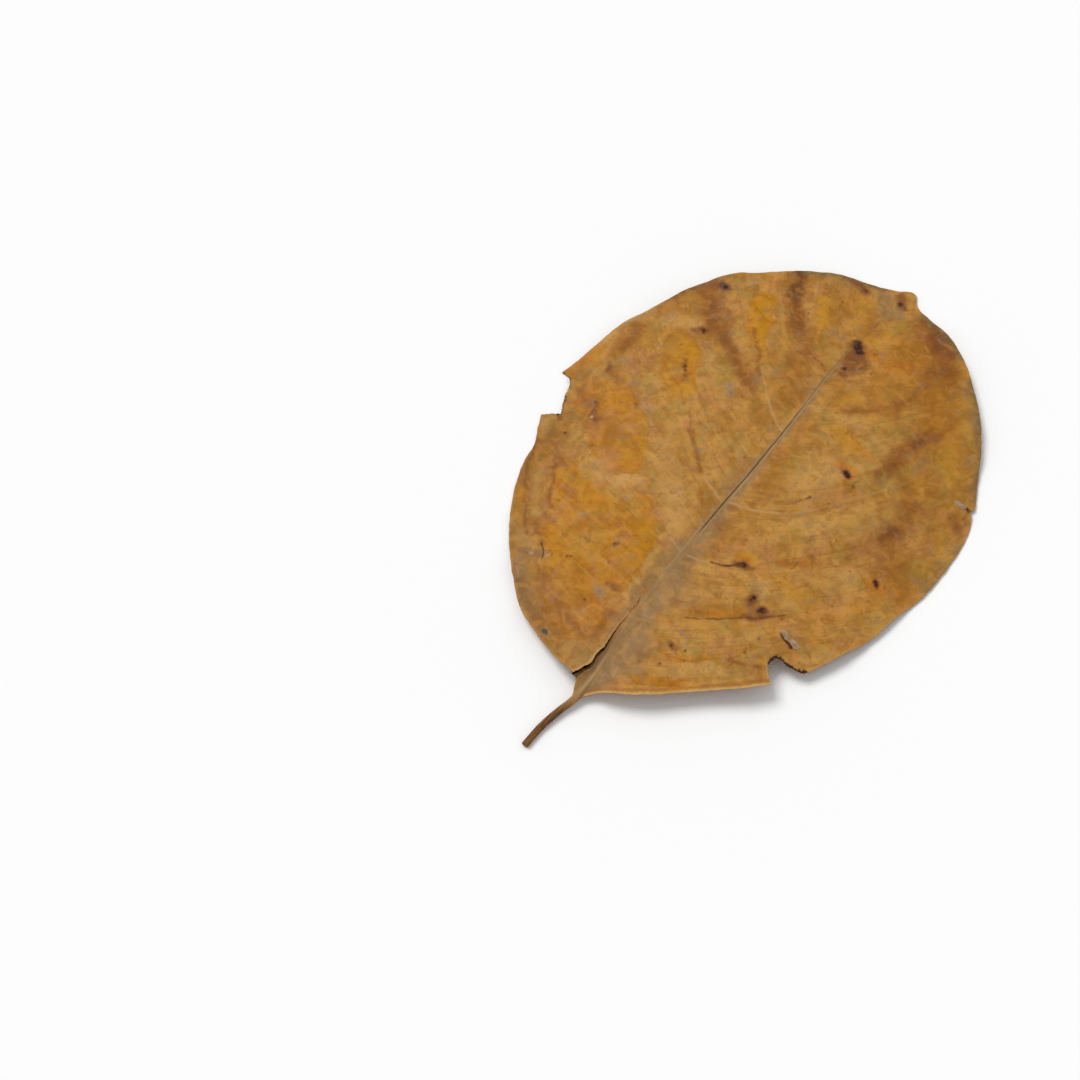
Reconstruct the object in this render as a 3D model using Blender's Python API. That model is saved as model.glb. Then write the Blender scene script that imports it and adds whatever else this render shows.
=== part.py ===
"""A dried jackfruit leaf, lying on a surface with its upper face up.

The blade, the midrib, the side veins and the stalk grew as one piece, so they are one closed solid.

Sizes are in millimetres until the mesh is made. In plan, u runs across the blade and v runs along it:
v = 0 is the base of the blade, its tip is near v = 151, and the stalk runs to negative v.
Seen from above with the tip away, u is positive to the right.
The solid is a height field on that plan, split into the same triangles on its upper and lower faces.
"""
import math

import bpy
import numpy as np
from mathutils import Vector
from mathutils.geometry import delaunay_2d_cdt

MM = 0.001

# Blade: an arch over the surface, highest at its centre
THICKNESS = 0.70
ARCH_HEIGHT = 8.0
ARCH_CENTRE = (-2.0, 75.0)
ARCH_REACH = (57.5, 76.0)
ARCH_POWER = 2.3

# Where the arch would meet its reach: (direction from its centre in degrees, height) once round.
# Where the upper face would be lower than the thickness, the blade is pressed flat on the surface.
MARGIN = [(0, -1.0), (28, 1.2), (60, 2.6), (92, -0.3), (120, 2.3), (150, 2.4), (178, 0.4), (202, -2.3),
          (232, 1.4), (260, 3.4), (285, 3.0), (312, 3.2), (338, 0.8)]
MARGIN_STEP = 4.0

# Waves of the margin and swells of the whole blade
MARGIN_WAVE = 0.45
MARGIN_WAVES_ROUND = 19
MARGIN_WAVE_SHIFT = 2.0
MARGIN_WAVE_SHIFTS_ROUND = 3
MARGIN_WAVE_REACH = (0.72, 1.0)
SWELL = 0.45
SWELL_ACROSS = (13.0, 0.6)
SWELL_ALONG = (17.0, 1.9)

# Outline in plan, from the right side of the stalk round to its left side
RIGHT_LOBE = [(1.0, -1.6), (3.1, 0.3), (6.6, 1.9), (11.0, 4.3), (16.0, 8.2), (21.3, 12.9), (26.5, 17.2),
              (31.6, 21.3), (36.5, 26.3)]
TORN_CORNER = [(35.1, 27.3), (33.3, 29.5), (33.0, 31.3), (33.3, 33.2), (35.2, 33.9), (36.7, 33.3),
               (38.3, 33.7), (39.8, 34.0)]
RIGHT_EDGE = [(41.1, 34.6), (42.6, 37.3), (45.4, 43.4), (48.8, 52.0), (51.1, 62.5), (53.2, 71.6),
              (53.9, 81.0), (53.7, 90.0), (52.6, 95.8), (51.2, 98.6)]
NICK = [(50.3, 99.4)]
UPPER_RIGHT_EDGE = [(50.9, 100.8), (48.5, 106.0), (44.2, 115.0), (39.6, 122.8), (34.8, 129.0),
                    (29.0, 134.8), (23.8, 139.1), (17.5, 143.3), (11.4, 145.5), (7.0, 147.0), (4.7, 149.2)]
TIP = [(4.0, 150.5), (2.3, 150.9), (0.6, 150.2)]
UPPER_LEFT_EDGE = [(-0.4, 149.4), (-3.4, 148.1), (-8.4, 146.6), (-14.0, 144.8), (-20.1, 141.5),
                   (-25.4, 137.3), (-30.0, 133.4), (-34.4, 130.0), (-38.8, 126.3), (-43.8, 120.6),
                   (-46.8, 114.6), (-49.1, 108.2), (-52.2, 101.8), (-54.9, 96.2), (-56.2, 89.4),
                   (-57.6, 81.2), (-59.7, 73.6)]
BITE = [(-57.2, 73.3), (-56.1, 72.3), (-55.4, 70.8), (-54.6, 67.9), (-53.2, 64.6), (-52.1, 62.6),
        (-53.9, 61.5)]
LEFT_EDGE = [(-56.3, 59.4), (-54.7, 55.8), (-52.2, 50.8), (-51.5, 45.6), (-49.6, 39.8), (-47.3, 34.6),
             (-43.7, 28.3), (-38.7, 21.5), (-32.3, 14.4), (-25.0, 8.1), (-18.4, 5.0), (-12.2, 2.6),
             (-8.0, 1.3)]
LOBE_POINT = [(-4.3, 0.8)]
CRACK = [(-3.3, 2.0), (-2.8, 3.6), (-2.1, 5.0), (-2.0, 6.4), (-2.3, 7.8), (-2.1, 9.8), (-1.9, 10.8),
         (-2.1, 12.6), (-2.4, 15.0), (-2.5, 16.7), (-2.4, 19.2)]
CRACK_END = [(-2.3, 22.0)]
STRIP_END = [(-3.1, 0.8), (-2.5, -0.9)]
CRACK_GAP = 0.60

# The torn lobe on the left and the flap on the right stand up from the rest of the base
LOBE_LIFT = 1.7
LOBE_LIFT_REACH = 16.0
LOBE_LIFT_ALONG = (22.0, 6.0)
FLAP_LIFT = 1.3
FLAP_LIFT_REACH = 5.0
FLAP_LIFT_ACROSS = (1.5, 6.0)
FLAP_LIFT_ALONG = (34.0, 26.0)

# Midrib, and the stalk that it becomes below the base
MIDRIB = [(-3.5, -20.0), (-3.2, -14.0), (-2.0, -8.0), (-0.7, -3.5), (-0.2, 2.0), (-0.5, 11.0),
          (-1.1, 24.0), (-1.2, 40.0), (-0.7, 58.0), (0.0, 76.0), (0.0, 96.0), (-0.5, 112.0),
          (-0.2, 127.0), (1.5, 138.5), (2.9, 147.5)]
MIDRIB_STATIONS = (-20.0, -5.0, 1.0, 25.0, 60.0, 110.0, 148.0)
MIDRIB_HALF_WIDTHS = (0.85, 0.90, 1.10, 1.05, 0.95, 0.70, 0.40)
MIDRIB_DEPTHS = (1.5, 1.5, 1.5, 1.3, 1.0, 0.6, 0.2)
MIDRIB_RAILS = (-1.0, -0.5, 0.0, 0.5, 1.0)
MIDRIB_VALLEY = 0.8
MIDRIB_VALLEY_REACH = 4.5
STALK_RUN = (-20.0, -3.0)
BLADE_RUN = (0.0, 147.0)
STALK_STATIONS = (-20.0, -15.0, -8.0, 0.0)
STALK_AXIS_HEIGHTS = (0.80, 0.80, 1.27, 2.35)
STALK_EDGE = 0.30
STALK_TO_BLADE = (-5.0, 1.0)

# Side veins: start on the midrib, rise, bend, first and last distance from the midrib.
# A vein passes t across the blade at v = start + rise * t + bend * t * t.
LEFT_VEINS = [(7.5, 0.10, 0.0080, 6.0, 29.0), (25.0, 0.16, 0.0010, 2.6, 40.0),
              (43.4, 0.25, -0.0008, 2.4, 49.0), (61.9, 0.51, 0.0052, 2.2, 49.0),
              (88.1, 0.43, 0.0062, 2.0, 42.0), (109.2, 0.35, 0.0250, 1.8, 25.0),
              (125.9, 0.62, 0.0480, 1.6, 14.0)]
RIGHT_VEINS = [(7.5, 0.38, 0.0080, 2.6, 29.0), (24.2, 0.31, 0.0130, 2.6, 41.0),
               (43.4, 0.11, 0.0191, 2.4, 46.0), (61.9, 0.14, 0.0263, 2.2, 39.0),
               (81.0, 0.20, 0.0260, 2.0, 34.0), (98.8, 0.28, 0.0257, 1.9, 28.0),
               (115.0, 0.40, 0.0330, 1.8, 19.0), (130.0, 0.60, 0.0450, 1.6, 9.0)]
VEIN_HALF_WIDTH = 0.9
VEIN_DEPTH = 0.55
VEIN_DEPTH_AT_END = 0.15
VEIN_VALLEY = 0.60
VEIN_VALLEY_REACH = 4.0
VEIN_VALLEY_START = (1.0, 8.0)

# Folds across the blade: a crease on the right, and one inside the pressed strip on the left
CREASE = [(9.2, 29.1), (15.1, 32.5), (23.5, 38.5), (29.9, 45.0), (33.5, 50.0)]
STRIP_FOLD = [(-50.4, 56.0), (-48.6, 47.5), (-45.9, 39.5), (-40.6, 31.6), (-34.4, 24.6), (-28.6, 18.6)]
FOLD_DEPTH = 0.35
FOLD_REACH = 1.3
FOLD_STEP = 2.0

# Mesh
EDGE_STEP = 2.6
VEIN_STEP = 3.2
BLADE_MIDRIB_STEP = 3.0
STALK_STEP = 1.3
FILL_STEP = 2.9
FILL_CLEARANCE = 0.60 * FILL_STEP
MERGE_DISTANCE = 1e-5
SHARP_ANGLE = math.radians(50.0)

LEAF_BROWN = (0.40, 0.18, 0.045)
LEAF_ROUGHNESS = 0.62


def smoothstep(low, high, value):
    t = np.clip((value - low) / (high - low), 0.0, 1.0)
    return t * t * (3.0 - 2.0 * t)


def even_steps(low, high, step):
    """Values from low to high, both included, about step apart."""
    return np.linspace(low, high, max(1, round((high - low) / step)) + 1)


def curve_through(points, step):
    """Points about step apart on a smooth curve through the given ones, ends included."""
    given = np.array(points, dtype=float)
    knots = np.vstack([2.0 * given[0] - given[1], given, 2.0 * given[-1] - given[-2]])
    result = []
    for before, start, end, after in zip(knots, knots[1:], knots[2:], knots[3:]):
        for t in even_steps(0.0, 1.0, step / math.dist(start, end))[:-1]:
            result.append(0.5 * (2.0 * start + (end - before) * t
                                 + (2.0 * before - 5.0 * start + 4.0 * end - after) * t ** 2
                                 + (3.0 * start - before - 3.0 * end + after) * t ** 3))
    result.append(given[-1])
    return np.array(result)


def distance_to_line(points, line):
    """Distance in plan from each point to the polyline."""
    nearest = np.full(len(points), np.inf)
    for start, end in zip(line[:-1], line[1:]):
        run = end - start
        along = np.clip((points - start) @ run / (run @ run), 0.0, 1.0)
        offset = points - start - along[:, None] * run
        nearest = np.minimum(nearest, np.hypot(offset[:, 0], offset[:, 1]))
    return nearest


def around(stations):
    """Stations once round, in degrees, with one more before them and two after, to close the curve."""
    before = (stations[-1][0] - 360, stations[-1][1])
    after = [(direction + 360, value) for direction, value in stations[:2]]
    return [before] + stations + after


MIDRIB_CURVE = curve_through(MIDRIB, 1.0)
MARGIN_CURVE = curve_through(around(MARGIN), MARGIN_STEP)


def midrib_u(v):
    return np.interp(v, MIDRIB_CURVE[:, 1], MIDRIB_CURVE[:, 0])


def midrib_half_width(v):
    return np.interp(v, MIDRIB_STATIONS, MIDRIB_HALF_WIDTHS)


def midrib_rail(v, rail):
    """Points at v, on the midrib's left side for rail -1, its middle for 0 and its right side for 1."""
    return np.column_stack([midrib_u(v) + rail * midrib_half_width(v), v])


def vein_lines():
    """The side veins as polylines, each from near the midrib to near the margin."""
    lines = []
    for side, veins in ((-1.0, LEFT_VEINS), (1.0, RIGHT_VEINS)):
        for start, rise, bend, first, last in veins:
            t = even_steps(first, last, VEIN_STEP)
            lines.append(np.column_stack([midrib_u(start) + side * t, start + rise * t + bend * t * t]))
    return lines


def crack_bank(side):
    """One bank of the crack, whose gap closes towards its upper end."""
    closing = np.linspace(1.0, 0.0, len(CRACK), endpoint=False)
    return [(u + side * 0.5 * CRACK_GAP * share, v) for (u, v), share in zip(CRACK, closing)]


def blade_outline():
    """The outline of blade and stalk in plan, anticlockwise seen from above."""
    stalk = even_steps(*STALK_RUN, STALK_STEP)
    stretches = [
        midrib_rail(stalk, 1.0),
        curve_through(RIGHT_LOBE, EDGE_STEP),
        TORN_CORNER,
        curve_through(RIGHT_EDGE, EDGE_STEP),
        NICK,
        curve_through(UPPER_RIGHT_EDGE + TIP + UPPER_LEFT_EDGE, EDGE_STEP),
        BITE,
        curve_through(LEFT_EDGE, EDGE_STEP),
        LOBE_POINT,
        crack_bank(-1.0),
        CRACK_END,
        crack_bank(1.0)[::-1],
        STRIP_END,
        midrib_rail(stalk[::-1], -1.0),
    ]
    return np.vstack([np.array(stretch, dtype=float) for stretch in stretches])


def plan_lines(veins):
    """Every line inside the outline that triangle edges follow: the midrib's rails and the veins."""
    along = np.concatenate([even_steps(*STALK_RUN, STALK_STEP), even_steps(*BLADE_RUN, BLADE_MIDRIB_STEP)])
    lines = [midrib_rail(along, rail) for rail in MIDRIB_RAILS]
    for vein in veins:
        run = np.gradient(vein, axis=0)
        run /= np.linalg.norm(run, axis=1)[:, None]
        across = np.column_stack([-run[:, 1], run[:, 0]])
        lines += [vein + side * VEIN_HALF_WIDTH * across for side in (-1.0, 0.0, 1.0)]
    return lines


def fill_points(outline, lines):
    """Points of a triangular grid that keep clear of the outline and of the lines."""
    low = outline.min(axis=0)
    high = outline.max(axis=0)
    row_height = FILL_STEP * math.sqrt(3.0) / 2.0
    points = []
    for row, v in enumerate(np.arange(low[1], high[1], row_height)):
        shift = 0.5 * FILL_STEP * (row % 2)
        points.extend((u, v) for u in np.arange(low[0] + shift, high[0], FILL_STEP))
    points = np.array(points)
    clear = np.ones(len(points), dtype=bool)
    for line in [np.vstack([outline, outline[:1]])] + lines:
        clear &= distance_to_line(points, line) > FILL_CLEARANCE
    return points[clear]


def split_plan(outline, veins):
    """Corners of the plan and its triangles, with every line kept as triangle edges."""
    lines = plan_lines(veins)
    corners = [Vector(point) for point in outline]
    edges = [(i, (i + 1) % len(outline)) for i in range(len(outline))]
    for line in lines:
        first = len(corners)
        corners.extend(Vector(point) for point in line)
        edges.extend((first + i, first + i + 1) for i in range(len(line) - 1))
    corners.extend(Vector(point) for point in fill_points(outline, lines))
    inside_constraints = 1
    corners, _, triangles, _, _, _ = delaunay_2d_cdt(corners, edges, [], inside_constraints, MERGE_DISTANCE)
    return np.array([tuple(corner) for corner in corners]), [tuple(triangle) for triangle in triangles]


def torn_side(points):
    """1 on the torn lobe's bank of the crack and less away from it, 0 on the midrib's side."""
    line = np.array(LOBE_POINT + CRACK + CRACK_END)
    left_of_crack = np.interp(points[:, 1], line[:, 1], line[:, 0]) - points[:, 0]
    torn = (left_of_crack > 0.0) & (points[:, 1] < line[-1, 1])
    return np.where(torn, np.exp(-np.maximum(left_of_crack, 0.0) / LOBE_LIFT_REACH), 0.0)


def upper_face(points, outline, veins):
    """Height of the blade's upper face over the surface, before it is pressed flat."""
    u, v = points[:, 0], points[:, 1]
    across = (u - ARCH_CENTRE[0]) / ARCH_REACH[0]
    along = (v - ARCH_CENTRE[1]) / ARCH_REACH[1]
    reach = np.hypot(across, along)
    direction = np.arctan2(along, across) % math.tau
    margin = np.interp(np.degrees(direction), MARGIN_CURVE[:, 0], MARGIN_CURVE[:, 1])
    height = ARCH_HEIGHT - (ARCH_HEIGHT - margin) * reach ** ARCH_POWER

    shift = MARGIN_WAVE_SHIFT * np.sin(MARGIN_WAVE_SHIFTS_ROUND * direction)
    wave = np.sin(MARGIN_WAVES_ROUND * direction + shift)
    height += MARGIN_WAVE * wave * smoothstep(*MARGIN_WAVE_REACH, reach)
    swell = np.sin(u / SWELL_ACROSS[0] + SWELL_ACROSS[1]) * np.sin(v / SWELL_ALONG[0] + SWELL_ALONG[1])
    height += SWELL * swell

    beside_midrib = np.abs(u - midrib_u(v))
    height -= MIDRIB_VALLEY * np.exp(-(beside_midrib / MIDRIB_VALLEY_REACH) ** 2)
    to_vein = np.min([distance_to_line(points, vein) for vein in veins], axis=0)
    valley = smoothstep(*VEIN_VALLEY_START, beside_midrib) * np.exp(-(to_vein / VEIN_VALLEY_REACH) ** 2)
    height -= VEIN_VALLEY * valley
    for fold in (CREASE, STRIP_FOLD):
        to_fold = distance_to_line(points, curve_through(fold, FOLD_STEP))
        height -= FOLD_DEPTH * np.exp(-(to_fold / FOLD_REACH) ** 2)

    height += LOBE_LIFT * torn_side(points) * smoothstep(*LOBE_LIFT_ALONG, v)
    flap = smoothstep(*FLAP_LIFT_ACROSS, u) * smoothstep(*FLAP_LIFT_ALONG, v)
    to_margin = distance_to_line(points, outline)
    height += FLAP_LIFT * flap * np.exp(-to_margin / FLAP_LIFT_REACH)
    return height


def rib_depth(points, veins):
    """How far the midrib and the side veins stand out under the blade."""
    u, v = points[:, 0], points[:, 1]
    rail = (u - midrib_u(v)) / midrib_half_width(v)
    depth = np.interp(v, MIDRIB_STATIONS, MIDRIB_DEPTHS) * np.clip(1.0 - rail ** 2, 0.0, 1.0)
    for vein in veins:
        outward = np.clip((u - vein[0, 0]) / (vein[-1, 0] - vein[0, 0]), 0.0, 1.0)
        crest = VEIN_DEPTH + (VEIN_DEPTH_AT_END - VEIN_DEPTH) * outward
        profile = np.clip(1.0 - (distance_to_line(points, vein) / VEIN_HALF_WIDTH) ** 2, 0.0, 1.0)
        depth = np.maximum(depth, crest * profile)
    return depth


def leaf_heights(points, outline, veins):
    """Heights of the upper and the lower face at every corner of the plan."""
    blade_top = upper_face(points, outline, veins)
    blade_bottom = np.maximum(blade_top - THICKNESS - rib_depth(points, veins), 0.0)
    blade_top = np.maximum(blade_top, blade_bottom + THICKNESS)

    u, v = points[:, 0], points[:, 1]
    radius = midrib_half_width(v)
    rail = np.clip((u - midrib_u(v)) / radius, -1.0, 1.0)
    section = radius * (STALK_EDGE + (1.0 - STALK_EDGE) * np.sqrt(1.0 - rail ** 2))
    axis = np.interp(v, STALK_STATIONS, STALK_AXIS_HEIGHTS)
    share = smoothstep(*STALK_TO_BLADE, v)
    top = share * blade_top + (1.0 - share) * (axis + section)
    bottom = share * blade_bottom + (1.0 - share) * (axis - section)
    return top, np.maximum(bottom, 0.0)


def outline_edges(triangles):
    """The directed edges that belong to one triangle only."""
    directed = {(a, b) for triangle in triangles for a, b in zip(triangle, triangle[1:] + triangle[:1])}
    return sorted(edge for edge in directed if edge[::-1] not in directed)


def leaf_mesh():
    """One closed mesh in metres, with the middle of its box over the origin."""
    outline = blade_outline()
    veins = vein_lines()
    points, triangles = split_plan(outline, veins)
    top, bottom = leaf_heights(points, outline, veins)
    plan = points - (points.min(axis=0) + points.max(axis=0)) / 2.0
    corners = np.vstack([np.column_stack([plan, top]), np.column_stack([plan, bottom])]) * MM
    under = len(plan)
    faces = triangles + [(c + under, b + under, a + under) for a, b, c in triangles]
    for a, b in outline_edges(triangles):
        faces.append((a, a + under, b + under))
        faces.append((a, b + under, b))
    mesh = bpy.data.meshes.new("leaf")
    mesh.from_pydata(corners.tolist(), [], faces)
    mesh.shade_smooth()
    mesh.set_sharp_from_angle(angle=SHARP_ANGLE)
    return mesh


def dry_leaf_material():
    material = bpy.data.materials.new("dry_leaf")
    material.use_nodes = True
    shader = material.node_tree.nodes["Principled BSDF"]
    shader.inputs["Base Color"].default_value = (*LEAF_BROWN, 1.0)
    shader.inputs["Roughness"].default_value = LEAF_ROUGHNESS
    shader.inputs["Metallic"].default_value = 0.0
    return material


def build():
    for old in list(bpy.data.objects):
        bpy.data.objects.remove(old, do_unlink=True)
    mesh = leaf_mesh()
    mesh.materials.append(dry_leaf_material())
    bpy.context.collection.objects.link(bpy.data.objects.new("leaf", mesh))


build()
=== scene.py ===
"""The look of a dried jackfruit leaf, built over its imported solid.

The blade is made again as a thinner and finer height field on the solid's own formulas, and painted by
fields that follow its veins, folds, patches and spots. Sizes are in millimetres until the mesh is made.
In plan, u runs across the blade and v runs along it, from its base at v = 0 to its tip near v = 151.
"""
import math

import bmesh
import bpy
import numpy as np
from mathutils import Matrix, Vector, kdtree, noise
from mathutils.geometry import delaunay_2d_cdt


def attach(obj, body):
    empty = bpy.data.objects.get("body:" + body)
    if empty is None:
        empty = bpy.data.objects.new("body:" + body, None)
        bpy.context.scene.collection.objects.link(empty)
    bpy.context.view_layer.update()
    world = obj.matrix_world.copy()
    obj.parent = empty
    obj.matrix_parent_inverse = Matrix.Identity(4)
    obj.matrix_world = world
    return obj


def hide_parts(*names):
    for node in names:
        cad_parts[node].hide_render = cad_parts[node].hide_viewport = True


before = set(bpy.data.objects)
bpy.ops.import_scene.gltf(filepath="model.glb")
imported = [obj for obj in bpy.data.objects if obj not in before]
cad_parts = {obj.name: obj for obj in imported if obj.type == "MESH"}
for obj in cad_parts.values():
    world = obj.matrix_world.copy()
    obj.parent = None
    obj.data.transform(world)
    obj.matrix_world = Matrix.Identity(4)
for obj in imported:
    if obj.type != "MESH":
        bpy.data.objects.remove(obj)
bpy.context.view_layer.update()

MM = 0.001
PLAN_CENTRE = (-2.9, 65.45)

# The solid's shape
THICKNESS = 0.38
ARCH_HEIGHT = 8.0
ARCH_CENTRE = (-2.0, 75.0)
ARCH_REACH = (57.5, 76.0)
ARCH_POWER = 2.3
MARGIN = [(0, -1.0), (28, 1.2), (60, 2.6), (92, -0.3), (120, 2.3), (150, 2.4), (178, 0.4), (202, -2.3),
          (232, 1.4), (260, 3.4), (285, 3.0), (312, 3.2), (338, 0.8)]
MARGIN_STEP = 4.0
MARGIN_WAVE = 0.45
MARGIN_WAVES_ROUND = 19
MARGIN_WAVE_SHIFT = 2.0
MARGIN_WAVE_SHIFTS_ROUND = 3
MARGIN_WAVE_REACH = (0.72, 1.0)
SWELL = 0.45
SWELL_ACROSS = (13.0, 0.6)
SWELL_ALONG = (17.0, 1.9)

RIGHT_LOBE = [(1.0, -1.6), (3.1, 0.3), (6.6, 1.9), (11.0, 4.3), (16.0, 8.2), (21.3, 12.9), (26.5, 17.2),
              (31.6, 21.3), (36.5, 26.3)]
TORN_CORNER = [(35.1, 27.3), (33.3, 29.5), (33.0, 31.3), (33.3, 33.2), (35.2, 33.9), (36.7, 33.3),
               (38.3, 33.7), (39.8, 34.0)]
RIGHT_EDGE = [(41.1, 34.6), (42.6, 37.3), (45.4, 43.4), (48.8, 52.0), (51.1, 62.5), (53.2, 71.6),
              (53.9, 81.0), (53.7, 90.0), (52.6, 95.8), (51.2, 98.6)]
NICK = [(50.3, 99.4)]
UPPER_RIGHT_EDGE = [(50.9, 100.8), (48.5, 106.0), (44.2, 115.0), (39.6, 122.8), (34.8, 129.0),
                    (29.0, 134.8), (23.8, 139.1), (17.5, 143.3), (11.4, 145.5), (7.0, 147.0), (4.7, 149.2)]
TIP = [(4.0, 150.5), (2.3, 150.9), (0.6, 150.2)]
UPPER_LEFT_EDGE = [(-0.4, 149.4), (-3.4, 148.1), (-8.4, 146.6), (-14.0, 144.8), (-20.1, 141.5),
                   (-25.4, 137.3), (-30.0, 133.4), (-34.4, 130.0), (-38.8, 126.3), (-43.8, 120.6),
                   (-46.8, 114.6), (-49.1, 108.2), (-52.2, 101.8), (-54.9, 96.2), (-56.2, 89.4),
                   (-57.6, 81.2), (-59.7, 73.6)]
BITE = [(-57.2, 73.3), (-56.1, 72.3), (-55.4, 70.8), (-54.6, 67.9), (-53.2, 64.6), (-52.1, 62.6),
        (-53.9, 61.5)]
LEFT_EDGE = [(-56.3, 59.4), (-54.7, 55.8), (-52.2, 50.8), (-51.5, 45.6), (-49.6, 39.8), (-47.3, 34.6),
             (-43.7, 28.3), (-38.7, 21.5), (-32.3, 14.4), (-25.0, 8.1), (-18.4, 5.0), (-12.2, 2.6),
             (-8.0, 1.3)]
LOBE_POINT = [(-4.3, 0.8)]
CRACK = [(-3.3, 2.0), (-2.8, 3.6), (-2.1, 5.0), (-2.0, 6.4), (-2.3, 7.8), (-2.1, 9.8), (-1.9, 10.8),
         (-2.1, 12.6), (-2.4, 15.0), (-2.5, 16.7), (-2.4, 19.2)]
CRACK_END = [(-2.3, 22.0)]
STRIP_END = [(-3.1, 0.8), (-2.5, -0.9)]
CRACK_GAP = 0.60
CRACK_LEAST = 0.09

LOBE_LIFT = 1.7
LOBE_LIFT_REACH = 16.0
LOBE_LIFT_ALONG = (22.0, 6.0)
FLAP_LIFT = 1.3
FLAP_LIFT_REACH = 5.0
FLAP_LIFT_ACROSS = (1.5, 6.0)
FLAP_LIFT_ALONG = (34.0, 26.0)

MIDRIB = [(-3.5, -20.0), (-3.2, -14.0), (-2.0, -8.0), (-0.7, -3.5), (-0.2, 2.0), (-0.5, 11.0),
          (-1.1, 24.0), (-1.2, 40.0), (-0.7, 58.0), (0.0, 76.0), (0.0, 96.0), (-0.5, 112.0),
          (-0.2, 127.0), (1.5, 138.5), (2.9, 147.5)]
MIDRIB_STATIONS = (-20.0, -5.0, 1.0, 25.0, 60.0, 110.0, 148.0)
MIDRIB_HALF_WIDTHS = (0.85, 0.90, 1.10, 1.05, 0.95, 0.70, 0.40)
MIDRIB_DEPTHS = (1.5, 1.5, 1.5, 1.3, 1.0, 0.6, 0.2)
MIDRIB_VALLEY = 0.8
MIDRIB_VALLEY_REACH = 4.5
STALK_RUN = (-20.0, -3.0)
BLADE_RUN = (0.0, 147.0)
STALK_STATIONS = (-20.0, -15.0, -8.0, 0.0)
STALK_AXIS_HEIGHTS = (0.80, 0.80, 1.27, 2.35)
STALK_EDGE = 0.30
STALK_TO_BLADE = (-5.0, 1.0)

LEFT_VEINS = [(7.5, 0.10, 0.0080, 6.0, 29.0), (25.0, 0.16, 0.0010, 2.6, 40.0),
              (43.4, 0.25, -0.0008, 2.4, 49.0), (61.9, 0.51, 0.0052, 2.2, 49.0),
              (88.1, 0.43, 0.0062, 2.0, 42.0), (109.2, 0.35, 0.0250, 1.8, 25.0),
              (125.9, 0.62, 0.0480, 1.6, 14.0)]
RIGHT_VEINS = [(7.5, 0.38, 0.0080, 2.6, 29.0), (24.2, 0.31, 0.0130, 2.6, 41.0),
               (43.4, 0.11, 0.0191, 2.4, 46.0), (61.9, 0.14, 0.0263, 2.2, 39.0),
               (81.0, 0.20, 0.0260, 2.0, 34.0), (98.8, 0.28, 0.0257, 1.9, 28.0),
               (115.0, 0.40, 0.0330, 1.8, 19.0), (130.0, 0.60, 0.0450, 1.6, 9.0)]
VEIN_HALF_WIDTHS = (0.95, 0.45)
VEIN_DEPTHS = (0.60, 0.0)
VEIN_REACH = (0.4, 3.0)
VEIN_VALLEY = 0.60
VEIN_VALLEY_REACH = 4.0
VEIN_VALLEY_START = (1.0, 8.0)

CREASE = [(9.2, 29.1), (15.1, 32.5), (23.5, 38.5), (29.9, 45.0), (33.5, 50.0)]
STRIP_FOLD = [(-50.4, 56.0), (-48.6, 47.5), (-45.9, 39.5), (-40.6, 31.6), (-34.4, 24.6), (-28.6, 18.6)]
FOLD_DEPTH = 0.35
FOLD_REACH = 1.3
FOLD_STEP = 2.0

# Finer relief
CRUMPLE = ((9.0, 0.20), (4.0, 0.12), (1.8, 0.045))
RIM_CURL = 0.35
MIDRIB_RIDGE_STATIONS = (-4.0, 0.0, 6.0, 12.0, 30.0, 50.0, 90.0, 120.0, 147.0)
MIDRIB_RIDGE_HEIGHTS = (0.0, 0.34, 0.22, 0.12, 0.12, 0.16, 0.18, 0.08, 0.0)
GROOVE_STATIONS = (46.0, 54.0, 86.0, 94.0, 112.0, 140.0)
GROOVE_DEPTHS = (0.0, 0.24, 0.22, 0.12, 0.08, 0.0)
GROOVE_HALF_WIDTH = 0.30
MIDRIB_RIDGE_HALF_WIDTH = 0.70
VEIN_RIDGE = 0.10
VEIN_RIDGE_HALF_WIDTH = 0.45
RIPPLE = 0.17
RIPPLE_LENGTH = 4.2
PRESSED_SOFTNESS = 0.18
RELIEF_SOFTNESS = 0.10
STALK_WRINKLE = 0.05

# Mesh
EDGE_STEP = 0.65
TORN_STEP = 0.45
VEIN_STEP = 0.80
MIDRIB_STEP = 0.80
STALK_STEP = 0.45
FILL_STEP = 0.67
PAINT_CLEARANCE = 0.12
FILL_CLEARANCE = 0.45
SIDE_VEIN_STEP = 3.2
RIB_STEP = 2.4
MIDRIB_RAILS = (-1.0, -0.82, -0.6, -0.38, -0.18, 0.0, 0.18, 0.38, 0.6, 0.82, 1.0)
SHARP_ANGLE = math.radians(60.0)
NET_SPACING = 18.0
NET_SIDES_APART = 50.0


def smoothstep(low, high, value):
    t = np.clip((value - low) / (high - low), 0.0, 1.0)
    return t * t * (3.0 - 2.0 * t)


def even_steps(low, high, step):
    return np.linspace(low, high, max(1, round((high - low) / step)) + 1)


def curve_through(points, step):
    """Points about step apart on a smooth curve through the given ones, ends included."""
    given = np.array(points, dtype=float).reshape(-1, 2)
    knots = np.vstack([2.0 * given[0] - given[1], given, 2.0 * given[-1] - given[-2]])
    result = []
    for before, start, end, after in zip(knots, knots[1:], knots[2:], knots[3:]):
        for t in even_steps(0.0, 1.0, step / math.dist(start, end))[:-1]:
            result.append(0.5 * (2.0 * start + (end - before) * t
                                 + (2.0 * before - 5.0 * start + 4.0 * end - after) * t ** 2
                                 + (3.0 * start - before - 3.0 * end + after) * t ** 3))
    result.append(given[-1])
    return np.array(result)


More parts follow.
